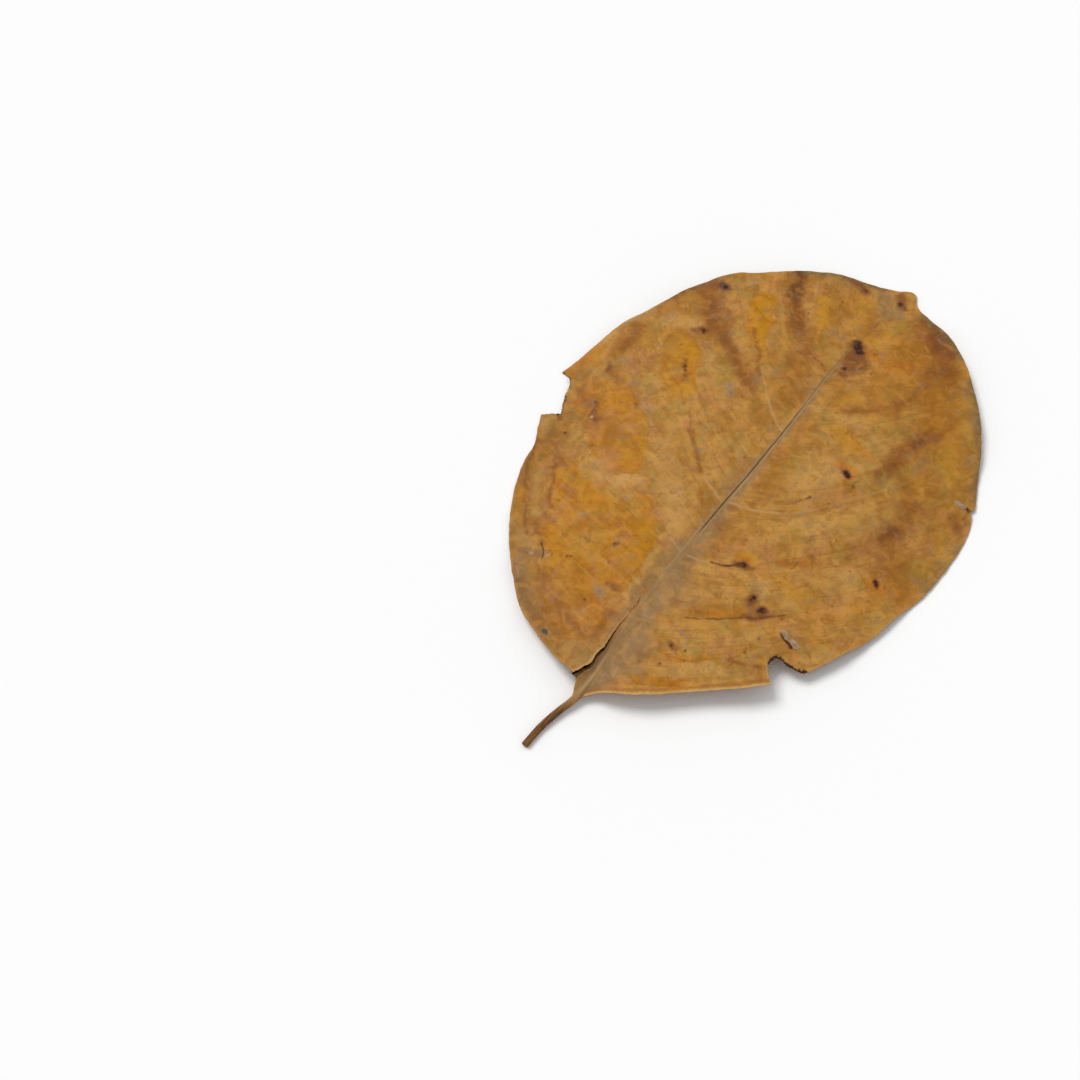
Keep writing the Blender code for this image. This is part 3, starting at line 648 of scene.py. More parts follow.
        (1.3, 0.7, -14, 12.4, -7, 10.4), (0.8, 0.5, -14.6, 19.4, -12.4, 22, -9.6, 20),
        (0.7, 0.75, -51.8, 51, -49.8, 44.4, -45.6, 37.6, -41, 31.6, -37, 27.4),
        (1, 0.35, 23.6, 61, 23, 66), (1, 0.3, 12, 63, 18, 62), (0.9, 0.5, 33, 67),
        (1, 0.5, 43.6, 60.6, 45.6, 57.6),
    ],
    "orange": [
        (1.5, 0.95, 17.6, 88.4, 19.4, 88.8), (1.2, 0.75, 21.6, 88.4, 20.8, 84.8),
        (1.7, 0.75, 41, 65, 43.8, 65), (2.4, 0.55, 46, 66.6, 48, 69.6),
        (1.8, 0.65, -57.4, 85, -57.8, 79, -58.6, 74.6), (2.4, 0.35, -54.6, 80),
        (1.8, 0.9, 4.4, 122.6, 6.6, 124.6), (2.6, 0.55, 11, 123, 15, 125.4),
        (1.1, 0.75, 14, 33.6, 16.6, 35.8), (1, 0.55, 18.6, 37.6, 20.8, 39.4),
        (1.5, 0.75, -48.6, 71.6, -49.6, 67.6), (2, 0.5, -41.4, 71.6, -36.6, 72.2),
        (1.1, 0.8, -31, 93.6, -29.6, 89.4), (1.1, 0.4, -43, 33.6, -46.6, 39.6),
        (1.3, 0.5, -31.6, 45.2, -27, 44.6), (1.5, 0.5, -18.8, 50.8, -14.6, 50.8),
        (2, 0.4, 22.6, 95, 17, 96), (1.4, 0.55, 26, 59.6, 21, 56), (2.6, 0.3, 36.6, 48.6, 42.6, 54),
        (1.6, 0.4, 4.4, 25.2, 7, 26), (0.9, 0.8, 11.6, 17.8, 15.6, 19.2), (1, 0.8, 10.4, 50.4, 13.6, 51.8),
        (1.6, 0.5, -53.4, 64, -51.6, 61, -48.6, 59.4), (1.6, 0.5, -12, 20, -7.6, 16.6),
        (2, 0.4, 12, 113, 17, 109.6), (1, 0.5, -38.6, 58, -41, 60),
    ],
    # Painted shade: soft darkening over the lower left of the blade and at a few other places
    "painted_shade": [
        (6.5, 0.75, -49, 54, -48, 42, -43, 31, -35, 21, -26, 13, -17, 6.6), (4.6, 0.9, -17, 6.6, -8, 4),
        (2.6, 0.5, -7.6, 13, -6.6, 6), (2, 0.5, -28, 12.4, -40, 24.6), (5, 0.4, -44, 50, -38, 56),
        (4, 0.6, -54.6, 75.6, -52.6, 70, -50, 62), (3, 0.45, -48, 77, -36, 79.6),
        (3, 0.4, -40.6, 96, -39.6, 90), (4, 0.4, -6, 97, -6, 88), (3.4, 0.35, 5, 109, 5.4, 103),
        (2.6, 0.7, 28, 24, 34, 27), (2.4, 0.5, 29, 29.6, 32.4, 32), (2.2, 0.6, -5.6, 14, -4.6, 8),
        (2.6, 0.5, 0.4, 0, 3, 5), (2.4, 0.5, 2, 44, 3, 48),
    ],
    "moss": [
        (2.6, 0.95, 9.6, 144.6, 16, 143.4, 22, 140.2, 24, 138.6),
        (2.4, 0.8, 31.4, 132.4, 36.6, 127, 41.4, 119.8, 45.6, 112, 49.8, 103),
        (2.4, 0.55, 53.2, 90, 53.8, 81, 52.8, 71.6),
        (2.4, 0.85, -5, 147.4, -12.6, 145.4, -18, 142.8, -22, 140, -26, 136.8),
        (2.2, 0.5, -41, 123.6, -44.6, 119, -47.6, 112, -49.4, 107.4),
    ],
    "rusty": [
        (2.1, 0.9, 15.8, 140.4, 18, 137.6), (1.4, 0.8, 21, 138.4, 22.6, 136.4),
        (1.6, 0.7, -1.4, 124, 0.6, 121), (2.2, 0.95, 2.6, 121.4, 4.6, 118.6),
        (2.2, 0.95, 1.4, 119.6, 2.4, 113.8), (1.8, 0.7, 4.6, 116.4), (1.2, 1, -12.6, 144.6, -7.4, 143.2),
        (1.6, 0.95, 0.6, 147.6, 2.4, 145), (1.9, 0.7, -41.6, 120, -38, 119.6),
        (1.2, 0.8, -37.6, 103.2, -34.2, 104.8), (1, 0.65, -33.4, 92.6, -31.6, 90, -30, 87.6),
        (1.3, 0.75, -48, 69.6, -45.4, 68.4, -42.8, 65), (1.1, 0.75, -54.6, 63, -51.6, 61.6),
        (0.9, 0.8, -52.4, 52.4, -51, 48.6), (1, 0.7, -35.4, 73.8),
        (1.6, 0.95, 20.4, 42, 22.4, 40.6, 24.2, 41), (0.8, 0.6, 20.6, 37.8, 23.4, 40),
        (1, 0.7, 11.2, 48.6, 15.2, 50), (0.9, 0.8, 10.4, 20.8, 12, 20.8), (0.7, 0.7, 14.6, 22),
        (1.6, 0.5, 36.6, 78, 38.6, 82), (1.8, 0.55, 28.6, 104.6, 29.6, 108),
        (1.1, 0.5, 31.4, 28.2, 35, 30.4), (0.7, 0.85, -7.8, 26.4, -11.6, 25.4),
        (0.6, 0.4, -8.6, 29, -7.4, 34), (1, 0.7, -47.4, 57.8), (1.4, 0.45, 26, 92, 28, 97),
        (0.8, 0.35, 0.6, 101, -1.6, 107),
    ],
    # Darker marks; the band cores among them, in the upper left, are partly stain and partly painted shade
    "dusk": [
        (2.2, 0.95, -25.2, 137, -23.6, 133.2, -22, 129.6),
        (1.3, 0.4, -22, 129.6, -18.6, 123.6, -15, 119.4), (2, 0.5, -37.4, 113, -34.6, 109.4),
        (1.4, 0.4, -30, 105.6, -22.6, 100.6), (1.2, 0.8, -40.4, 121, -38, 119.8), (1, 0.7, -10.4, 144.6),
        (1.5, 0.6, 8.6, 143.8, 13.6, 142.8, 19, 140.8), (0.9, 0.45, 17, 138.6, 21.4, 138),
        (1.2, 0.45, 23.4, 130.6), (1.1, 0.45, 29.4, 107.6, 28.4, 103), (1.2, 0.4, 37.6, 84.6, 38.2, 81),
        (1, 0.9, 2.6, 145.6), (0.7, 0.7, -50.8, 81.6, -49, 79.8), (1.2, 0.5, 22.4, 42.6, 20.4, 43.4),
        (1, 0.6, 48.4, 104.2), (0.9, 0.6, 49.8, 98.6, 50.8, 96),
    ],
    "lilac": [
        (1.4, 0.9, -19.4, 92.2, -17.6, 90.4), (1.8, 0.5, -46.4, 84.8), (0.9, 0.9, -34, 74.6, -32, 74),
        (1.3, 0.9, -12.4, 23.2, -10, 22.4), (0.8, 0.7, -27.6, 38.4, -28.8, 36.8),
        (0.8, 0.7, 13, 22.4, 14.8, 23), (1.1, 0.6, 32, 80.6, 33.6, 79.4), (1.2, 0.55, 28, 72.6),
        (1.5, 0.5, 42.6, 112.4), (1, 0.7, -2, 12.6, -1.4, 6), (1.6, 0.5, 1, 24, 1.6, 30),
        (1.8, 0.5, 0.6, 2, 3, 8), (1.3, 0.6, -34.6, 19.6, -32, 16.6), (1.6, 0.4, -36, 124, -33, 127),
        (0.6, 0.6, 0.2, 116, 1, 114),
    ],
    "whitish": [
        (1.2, 0.5, 46.3, 99.5), (0.9, 0.5, 48.2, 98.2), (0.45, 0.9, -36.8, 103.4),
        (0.6, 0.85, -43.8, 65.1), (0.8, 0.6, -28.8, 24.2), (0.8, 0.6, -32.8, 22.8),
    ],
    "vein": [
        (0.3, 0.95, -0.6, 88.2, -3.4, 90, -6.4, 92.2, -9.4, 95),
        (0.3, 0.45, -9.4, 95, -12.6, 98.4, -15.6, 102.6), (0.34, 0.9, -1.2, 61.4, -4, 62.5, -8.4, 64.4),
        (0.32, 0.6, -1.6, 43.8, -5, 44.8, -8, 45.6), (0.32, 0.95, 0.2, 62.2, 4, 63.2, 8, 64.6, 12, 66.6),
        (0.32, 0.5, 12, 66.6, 15.4, 69.6, 18.4, 73), (0.42, 0.35, 18.4, 73, 22.4, 78, 26.6, 84.4, 30, 90),
        (0.32, 0.85, 0.4, 43.6, 4, 44.4, 8.2, 46.2), (0.28, 0.4, 0.4, 98.9, 4, 100.4, 7, 102),
        (0.26, 0.25, 0.2, 81, 4, 82, 8, 84.4), (0.26, 0.3, -0.6, 109.2, -4, 111, -7, 113),
    ],
    "vein_shade": [
        (0.45, 0.75, -0.8, 87.2, -3.2, 88.8, -6, 90.9, -8.4, 92.6),
        (0.8, 0.4, 12.2, 66.6, 16.6, 70.6, 21, 75.2, 25.6, 81, 29.4, 86.6),
        (0.5, 0.4, -2, 60.6, -7.6, 62.8), (0.5, 0.35, 1, 61.4, 8, 63.8),
    ],
}
# Dark spots: (u, v, radius, strength)
SPOTS = [
    (0, 125.6, 1.2, 1), (0.8, 124.2, 1.7, 1), (1.9, 122.9, 1.3, 1), (3.1, 122.8, 0.7, 0.8),
    (1.9, 115.3, 0.75, 0.85), (19.8, 87, 0.95, 1), (20.6, 86.5, 0.8, 1), (23.2, 85, 0.6, 0.55),
    (41.7, 66.2, 0.8, 1), (42.4, 65.6, 0.7, 1), (13.2, 49.6, 1, 1), (12.2, 48.9, 0.7, 0.9),
    (20.3, 43.4, 0.7, 0.9), (20.1, 42.4, 0.5, 0.8), (23.8, 42.2, 0.95, 0.95), (23.2, 41.4, 0.6, 0.8),
    (-38.7, 120.3, 1, 0.9), (-39.9, 120.8, 0.8, 0.8), (-35.2, 104.1, 0.75, 0.8), (-34.8, 103.4, 0.5, 0.7),
    (-32.4, 91.2, 0.6, 0.7), (-31.6, 90.2, 0.45, 0.6), (-31, 88.6, 0.4, 0.6), (-46, 69.3, 0.5, 0.6),
    (-44.6, 67.4, 0.4, 0.5), (-42.6, 64.6, 0.5, 0.6), (-16, 35.6, 0.55, 0.7), (-15.4, 36, 0.4, 0.6),
    (-24.4, 26.6, 0.45, 0.65), (-23.5, 27, 0.3, 0.7), (-14.5, 31, 0.35, 0.5), (-35.8, 39, 0.4, 0.6),
    (-13.5, 18.7, 0.45, 0.65), (-22.5, 32.6, 0.5, 0.45), (-23.6, 33.2, 0.4, 0.4), (-21.2, 33.2, 0.3, 0.4),
    (-9.9, 40.4, 0.35, 0.6), (11, 20.8, 0.55, 0.75), (14.5, 21.6, 0.4, 0.7), (11.5, 15.3, 0.4, 0.6),
    (27.4, 35, 0.4, 0.55), (1.8, 145.6, 0.8, 0.9), (-8.2, 143.9, 0.7, 0.7), (-47.4, 57.8, 0.5, 0.6),
    (-38.6, 57.6, 0.5, 0.45), (-51.9, 50.2, 0.6, 0.6), (-43.8, 47.3, 0.4, 0.6), (16.2, 75.8, 0.4, 0.55),
    (20.9, 77, 0.4, 0.5), (32.5, 67.3, 0.4, 0.5), (43, 61, 0.4, 0.45), (-37.4, 96.8, 0.4, 0.4),
    # The spots at the nick (49.7, 99.5), at the torn corner (33, 31.4) and in the slit (33.4, 38.3 and 34.7,
    # 37.9) are painted shadow in holes
    (-36.4, 73.9, 0.4, 0.45), (49.7, 99.5, 0.5, 0.9), (-15.8, 125.7, 0.4, 0.5), (-10.8, 135.8, 0.45, 0.5),
    (-12, 136.4, 0.35, 0.4), (33, 31.4, 0.6, 0.7), (33.4, 38.3, 0.3, 0.8), (34.7, 37.9, 0.42, 1),
    (11.2, 76.6, 0.3, 0.4), (7.6, 73, 0.3, 0.35), (29.6, 73.6, 0.3, 0.4), (-7.6, 69.4, 0.3, 0.35),
    (-12.4, 62, 0.3, 0.35), (26.4, 29.6, 0.35, 0.5), (36.6, 54, 0.35, 0.4),
]
MOULD_SPOTS = [(-16.9, 6.4, 0.66, 1.0), (-16.1, 5.9, 0.55, 0.55)]
# Thin dark lines, written as the strokes are: dark marks, and painted shadow in the crack's end, in the slit
# under the peeled flake and in the nick
DARK_LINES = [
    (0.3, 0.8, 13, 49.4, 10.6, 47.4, 8.6, 46.4, 6.4, 45.6),
    (0.3, 1, 31.2, 39.2, 32.4, 38.6, 33.6, 38.4, 35, 38),
    (0.22, 0.5, 9.6, 29.4, 12.7, 31, 15, 32.8, 18.5, 35.6, 22, 38.3, 24.7, 40.4),
    (0.3, 0.45, 20, 37, 24.7, 40.4, 27.1, 42.7, 29, 44.8),
    (0.18, 0.85, -31.9, 26.4, -30.6, 24.8, -29.6, 22.6), (0.15, 0.8, -2.4, 16.8, -2.5, 19.2, -2.3, 22),
    (0.12, 0.6, -2.3, 22, -2.6, 23.6, -2.2, 25.4, -2.5, 27),
    (0.35, 0.25, 0.2, 127.4, 0.6, 131, 0.8, 135.6), (0.45, 0.9, 48.8, 99.8, 50, 99.4),
    (0.26, 0.34, 11, 69.4, 13.6, 71.6, 15, 73.8, 16.4, 75.8),
    (0.16, 0.3, 8.6, 17.5, 12, 18.2, 16, 19.6, 19.6, 21.6), (0.5, 0.35, -6.6, 113.8, -3, 112.6),
    (0.14, 0.3, -18, 45.6, -21, 45.8, -24, 45.2),
]
# Burnt and torn edges, partly painted shadow along the torn corner, written as the strokes are
TORN_MARKS = [
    (0.62, 1, 33.2, 30.6, 33.1, 32.4, 33.8, 33.8),
    (0.5, 1, 33.8, 33.8, 35.2, 33.9, 36.7, 33.4, 38.3, 33.8, 39.8, 34.1, 41.2, 35),
    (0.5, 0.6, -59.6, 73.6, -57.2, 73.3, -55.4, 70.8), (0.55, 0.6, -54.6, 67.9, -52.1, 62.6, -53.9, 61.5),
]
# Painted shade in the midrib's groove: (v, strength) along it, and the width of its dark line
GROOVE_SHOWN = ((50.5, 0.0), (52.5, 0.85), (58.0, 1.0), (64.0, 1.0), (70.0, 0.85), (86.0, 0.85), (96.0, 0.6),
                (112.0, 0.4), (122.0, 0.0))
GROOVE_LINE = 0.18
# How far the drift moves golden patches, strokes, and fine marks
PATCH_DRIFT = 1.3
SOFT_DRIFT = 0.9
SLIGHT_DRIFT = 0.35
FINE_PAINTS = ("whitish", "vein", "vein_shade")
FRINGE_WIDTH = 2.0
# Painted highlight on the curled edge: its width, and the place and width of the darker line inside it; the
# lip's painted highlight: its width and where it fades out along v
CURL_WIDTH = 0.60
CURL_LINE_AWAY = 1.1
CURL_LINE_WIDTH = 0.40
LIP_WIDTH = 0.34
LIP_END = (14.0, 8.0)
# Torn fibres: (heading in degrees from +u towards +v, number, length, u, v of each point of their roots)
FIBRES = [
    (262, 8, 1, -4.2, -19.8, -2.8, -19.8), (275, 9, 0.9, 33.6, 33.4, 36.7, 33.6, 39.8, 34.3),
    (20, 7, 0.9, 34.6, 27.8, 32.9, 31), (190, 10, 1, -56.9, 73.6, -54.2, 67.9, -51.8, 62.8),
    (330, 6, 0.5, -4.4, 1.2, -2.9, 4.6, -2.5, 9.8, -2.7, 15), (0, 4, 0.6, 49.8, 99.9, 50, 99),
]
HAIR_RINGS = 5
HAIR_SIDES = 4

# Inner tissue of the tear
LEDGE_RUN = (0.9, 18.5)
LEDGE_STATIONS = 47
LEDGE_WIDTH = 1.9
LEDGE_SHARES = (-0.25, 0.0, 0.1, 0.2, 0.3, 0.45, 0.7, 1.0)
LEDGE_THICKNESS = 0.12

# Flakes of peeled skin: (name, hinge, free edge, lift, seed)
FLAKES = [
    ("slit_flake",
     (30.3, 40.2, 31.2, 40.8, 32.4, 40.5, 33.6, 40.0, 34.6, 40.1, 35.6, 39.9, 36.6, 39.2),
     (30.4, 40.0, 31.3, 39.2, 32.4, 38.6, 33.6, 38.5, 34.5, 38.1, 35.6, 38.1, 36.5, 38.8), 0.26, 71),
    ("nick_flake", (46.0, 100.2, 45.7, 99.4, 46.1, 98.7), (48.6, 100.3, 49.0, 99.2, 48.2, 98.4), 0.14, 75),
]
FLAKE_STATIONS = 17
FLAKE_ROWS = 6
FLAKE_CLEARANCE = 0.03
FLAKE_THICKNESS = 0.06


def soft_field(points, strokes):
    """How strongly the strokes colour each point, from 0 to 1."""
    bare = np.ones(len(points))
    for half_width, strength, *line in strokes:
        bare *= 1.0 - strength * np.exp(-(distance_to_line(points, line) / half_width) ** 2)
    return 1.0 - bare


def line_field(points, lines):
    """As soft_field, with firmer edges."""
    field = np.zeros(len(points))
    for half_width, strength, *line in lines:
        away = distance_to_line(points, line) / half_width
        field = np.maximum(field, strength * np.clip(1.5 - away, 0.0, 1.0))
    return field


def spot_field(points, spots):
    """A cone over each spot: 1 at its middle, 0 at twice its radius."""
    field = np.zeros(len(points))
    for u, v, radius, strength in spots:
        away = np.hypot(points[:, 0] - u, points[:, 1] - v) / (2.0 * radius)
        field = np.maximum(field, strength * np.clip(1.0 - away, 0.0, 1.0))
    return field


def drift_at(points):
    """The wander that keeps painted shapes from running straight."""
    return np.column_stack([cloud(points, 3.6, 51) + 0.6 * cloud(points, 1.4, 52),
                            cloud(points, 3.6, 53) + 0.6 * cloud(points, 1.4, 54)])


def paint_corners():
    """Extra corners round each spot and along each thin line, so that the mesh can carry them."""
    corners = []
    for u, v, radius, _ in SPOTS + MOULD_SPOTS:
        corners.append((u, v))
        for share, count in ((0.6, 6), (1.2, 9), (1.8, 12)):
            for i in range(count):
                angle = math.tau * (i + share) / count
                corners.append((u + share * radius * math.cos(angle), v + share * radius * math.sin(angle)))
    for half_width, _, *line in DARK_LINES + STROKES["vein"]:
        path = curve_through(line, 0.35)
        for share in (-1.7, -0.8, 0.0, 0.8, 1.7):
            corners.extend(path + share * half_width * sideways(path))
    corners = np.array(corners)
    return corners - SLIGHT_DRIFT * drift_at(corners)


def net_coordinates(points):
    """Where each point lies between the side veins: (place between them, distance from the midrib, side)."""
    u, v = points[:, 0], points[:, 1]
    t = u - midrib_u(v)
    result = np.zeros((len(points), 3))
    for side, veins in ((-1.0, LEFT_VEINS), (1.0, RIGHT_VEINS)):
        away = np.abs(t)
        table = np.array(veins)
        at = table[:, 0][:, None] + table[:, 1][:, None] * away + table[:, 2][:, None] * away ** 2
        at = np.maximum.accumulate(at, axis=0)
        for i in np.nonzero(np.sign(t) == side)[0]:
            low, high = at[0, i], at[-1, i]
            number = np.interp(v[i], at[:, i], np.arange(len(veins)))
            number += min(0.0, v[i] - low) / NET_SPACING + max(0.0, v[i] - high) / NET_SPACING
            result[i] = (number * NET_SPACING, away[i], NET_SIDES_APART * side)
    return result


def paint_fields(points, to_margin):
    """Every field that the material reads, one value for each corner of the plan."""
    v = points[:, 1]
    drift = drift_at(points)
    moved = points + PATCH_DRIFT * drift
    softly = points + SOFT_DRIFT * drift
    slightly = points + SLIGHT_DRIFT * drift
    gold = np.max([inward_distance(moved, np.reshape(patch, (-1, 2))) for patch in GOLD_PATCHES], axis=0)
    off_axis = points[:, 0] - midrib_u(v)
    rail = off_axis / midrib_half_width(v)
    # Painted shade along the midrib's groove
    groove = np.clip(1.35 - np.abs(off_axis + 0.10 * cloud(points, 2.5, 55)) / GROOVE_LINE, 0.0, 1.0)
    groove *= np.interp(v, *zip(*GROOVE_SHOWN)) * np.clip(0.85 + 0.6 * cloud(points, 1.8, 56), 0.0, 1.0)
    ragged = np.clip(0.75 + 0.9 * cloud(points, 0.6, 57), 0.0, 1.0)
    # Painted highlight along the right lobe's curled edge, and a pale lip, partly painted highlight, along
    # the lifted lobe's torn bank
    to_curl = distance_to_line(points, RIGHT_LOBE)
    to_lip = distance_to_line(points, np.array(LOBE_POINT + crack_bank(-1.0)) - (0.12, 0.0))
    lip = 0.75 * np.exp(-(to_lip / LIP_WIDTH) ** 4) * smoothstep(*LIP_END, v)
    curl_highlight = np.maximum(np.exp(-(to_curl / CURL_WIDTH) ** 4), lip)
    fields = {name: soft_field(slightly if name in FINE_PAINTS else softly, strokes)
              for name, strokes in STROKES.items()}
    fringe = FRINGE_WIDTH * (1.0 + 0.5 * cloud(points, 4.0, 59))
    fields["moss"] *= np.exp(-(to_margin / fringe) ** 2)
    fields.update({
        "gold": np.clip(gold, -3.0, 3.0),
        "spot": spot_field(slightly, SPOTS),
        "mould": spot_field(slightly, MOULD_SPOTS),
        "dark": line_field(slightly, DARK_LINES) * np.clip(0.85 + 0.7 * cloud(points, 1.7, 58), 0.0, 1.0),
        "torn": line_field(points, TORN_MARKS) * ragged,
        "curl_highlight": curl_highlight * np.clip(0.9 + 0.4 * drift[:, 0], 0.0, 1.0),
        "curl_line": np.exp(-((to_curl - CURL_LINE_AWAY) / CURL_LINE_WIDTH) ** 2),
        "groove": groove,
        "rib": vein_ribs(points, RIBS)[1],
        "rail": np.clip(rail, -3.0, 3.0),
        "along": v,
        "edge": np.clip(to_margin, 0.0, 8.0),
    })
    return fields


def add_field(mesh, name, values):
    values = np.asarray(values, dtype=np.float32)
    if values.ndim == 1:
        mesh.attributes.new(name, "FLOAT", "POINT").data.foreach_set("value", values)
    else:
        mesh.attributes.new(name, "FLOAT_VECTOR", "POINT").data.foreach_set("vector", values.ravel())


def place(name, data):
    """A new object of the scene with this data."""
    item = bpy.data.objects.new(name, data)
    bpy.context.collection.objects.link(item)
    return item


def smooth_piece(mesh, material):
    """The piece of a finished mesh, smooth but for its sharp edges."""
    mesh.shade_smooth()
    mesh.set_sharp_from_angle(angle=SHARP_ANGLE)
    mesh.materials.append(material)
    return place(mesh.name, mesh)


def make_leaf(outline, material):
    points, triangles = split_plan(outline, vein_lines(VEIN_STEP, whole=True), paint_corners())
    to_margin = distance_to_edge(points, outline)
    top, bottom = leaf_heights(points, to_margin)
    corners = np.vstack([to_row(points, top), to_row(points, bottom)])
    under = len(points)
    faces = triangles + [(c + under, b + under, a + under) for a, b, c in triangles]
    for a, b in outline_edges(triangles):
        faces.append((a, a + under, b + under))
        faces.append((a, b + under, b))
    mesh = bpy.data.meshes.new("leaf_blade")
    mesh.from_pydata(corners.tolist(), [], faces)
    blade = smooth_piece(mesh, material)
    for name, values in paint_fields(points, to_margin).items():
        add_field(mesh, name, np.concatenate([values, values]))
    net = net_coordinates(points)
    add_field(mesh, "net", np.vstack([net, net]))
    add_field(mesh, "under", np.concatenate([np.zeros(under), np.ones(under)]))
    return blade


def faces_at(points, outline):
    """Heights of the upper and the lower face at any point of the plan."""
    return leaf_heights(points, distance_to_edge(points, outline))


def add_piece(name, corners, faces, material):
    work = bmesh.new()
    made = [work.verts.new(corner) for corner in corners]
    for face in faces:
        work.faces.new([made[i] for i in face])
    bmesh.ops.recalc_face_normals(work, faces=work.faces)
    mesh = bpy.data.meshes.new(name)
    work.to_mesh(mesh)
    work.free()
    return smooth_piece(mesh, material)


def make_sheet(name, plan, top, thickness, material):
    """A thin closed sheet over a grid of plan points."""
    rows, columns = top.shape
    flat = plan.reshape(-1, 2)
    corners = np.vstack([to_row(flat, top.ravel()), to_row(flat, top.ravel() - thickness)])
    under = rows * columns
    number = np.arange(under).reshape(rows, columns)
    faces = []
    for one, other in zip(number[:-1], number[1:]):
        for a, b, c, d in zip(one[:-1], one[1:], other[1:], other[:-1]):
            faces += [(a, b, c, d), (a + under, b + under, c + under, d + under)]
    rim = [*number[0], *number[1:, -1], *number[-1, -2::-1], *number[-2:0:-1, 0]]
    faces += [(a, b, b + under, a + under) for a, b in zip(rim, rim[1:] + rim[:1])]
    return add_piece(name, corners, faces, material)


def make_flake(name, hinge, free, lift, seed, outline, material):
    """A flake of skin that is fast along its hinge and lifts towards its free edge."""
    steps = np.linspace(0.0, 1.0, FLAKE_STATIONS)
    shares = np.linspace(0.0, 1.0, FLAKE_ROWS)
    fast = between(hinge, steps)
    reach = (between(free, steps) - fast) * (1.0 + 0.30 * cloud(fast, 0.9, seed))[:, None]
    plan = np.array([fast + share * reach for share in shares])
    ground, _ = faces_at(plan.reshape(-1, 2), outline)
    bow = np.sin(math.pi * steps) ** 0.5 * (1.0 + 0.4 * cloud(fast, 1.1, seed + 1))
    rise = lift * shares[:, None] ** 1.6 * bow
    top = ground.reshape(plan.shape[:2]) + FLAKE_CLEARANCE + rise
    return make_sheet(name, plan, top, FLAKE_THICKNESS, material)


def make_ledge(outline, material):
    """The torn inner tissue that runs out from the midrib's side, below the lifted lobe."""
    v = np.linspace(*LEDGE_RUN, LEDGE_STATIONS)
    bank = np.array(STRIP_END[:1] + crack_bank(1.0))
    lobe = np.array(LOBE_POINT + crack_bank(-1.0))
    edge_u = np.interp(v, bank[:, 1], bank[:, 0])
    gap = edge_u - np.interp(v, lobe[:, 1], lobe[:, 0])
    near = np.column_stack([edge_u + 0.25, v])
    top, bottom = faces_at(near, outline)
    lift = faces_at(np.column_stack([edge_u - gap - 0.4, v]), outline)[0] - top
    shadow = (0.26 + 0.22 * smoothstep(14.0, 8.0, v)) * (1.0 + 0.35 * cloud(near, 0.9, 63))
    width = LEDGE_WIDTH * (1.0 + 0.12 * cloud(near, 1.3, 61)) * smoothstep(20.5, 12.0, v)
    plan = []
    heights = []
    for share in LEDGE_SHARES:
        slant = 0.5 * max(0.0, share) * np.exp(-(v - v[0]) / 1.5)
        plan.append(np.column_stack([edge_u - share * width, v + slant]))
        droop = 0.10 + 0.40 * max(0.0, share) + 0.05 * cloud(plan[-1], 0.6, 62)
        heights.append(np.maximum(top - 0.10 - droop, 0.5 * (top + bottom) - 0.5))
    upper = np.maximum(np.array(heights), 0.20)
    ledge = make_sheet("crack_ledge", np.array(plan), upper, LEDGE_THICKNESS, material)
    # Painted shadow darkens the tissue where it runs in under the lobe, by how much of it the lifted lobe
    # leaves in sight
    seen = gap + 0.45 * np.maximum(lift - 0.3, 0.0)
    dark = (np.outer(LEDGE_SHARES, width) - seen + shadow).ravel()
    add_field(ledge.data, "dark", np.concatenate([dark, np.full(len(dark), -1.0)]))
    return ledge


def make_fibres(outline, material):
    """Short torn fibres that stick out of the torn edges and of the stalk's end."""
    chance = np.random.default_rng(11)
    corners = []
    faces = []
    for heading, count, length, *line in FIBRES:
        for share in chance.uniform(0.0, 1.0, count):
            root = between(line, [share])
            top, bottom = faces_at(root, outline)
            height = bottom[0] + (top[0] - bottom[0]) * chance.uniform(0.25, 0.75)
            angle = math.radians(heading + chance.uniform(-38.0, 38.0))
            turn = math.radians(chance.uniform(-50.0, 50.0))
            reach = length * chance.uniform(0.5, 1.2)
            rise = chance.uniform(-0.25, 0.35) * reach
            radius = chance.uniform(0.03, 0.055)
            first = len(corners)
            for part in np.linspace(0.0, 1.0, HAIR_RINGS):
                bearing = angle + turn * part
                ahead = np.array([math.cos(bearing), math.sin(bearing)])
                across = np.array([-ahead[1], ahead[0]])
                centre = root + part * reach * ahead
                level = max(height + rise * part * part, 0.10)
                thick = radius * (1.0 - 0.7 * part)
                for k in range(HAIR_SIDES):
                    turned = math.tau * k / HAIR_SIDES
                    spot = centre + thick * math.cos(turned) * across
                    corners.append(to_row(spot, [level + thick * math.sin(turned)])[0])
            for a_ring in range(first, len(corners) - HAIR_SIDES, HAIR_SIDES):
                for k in range(HAIR_SIDES):
                    a = a_ring + k
                    b = a_ring + (k + 1) % HAIR_SIDES
                    faces.append((a, b, b + HAIR_SIDES, a + HAIR_SIDES))
            faces.append(tuple(range(first, first + HAIR_SIDES)))
            faces.append(tuple(range(len(corners) - HAIR_SIDES, len(corners))))
    return add_piece("torn_fibres", corners, faces, material)


# Materials
GLOSS = 0.012
SPECULAR_LEVEL = 0.13
GRAIN_ALONG_U = (420.0, 1300.0, 1300.0)
GRAIN_ALONG_V = (2400.0, 700.0, 2400.0)

# Studio, in metres
FLOOR_SIDES = 48
FLOOR_RINGS = ((3.0, 0.0), (8.0, 0.3))
FLOOR_HEIGHT = -0.00002
WORLD_STRENGTH = 0.54
SUN_STRENGTH = 1.80
SUN_ANGLE = math.radians(30.0)
SUN_DIRECTION = (-0.55, 0.05, 0.80)
CAMERA_LENS = 70.0
SENSOR_WIDTH = 36.0
CAMERA_PLACE = (0.12568, -0.25304, 0.46276)
CAMERA_TARGET = (-0.03136, -0.03689, 0.0)


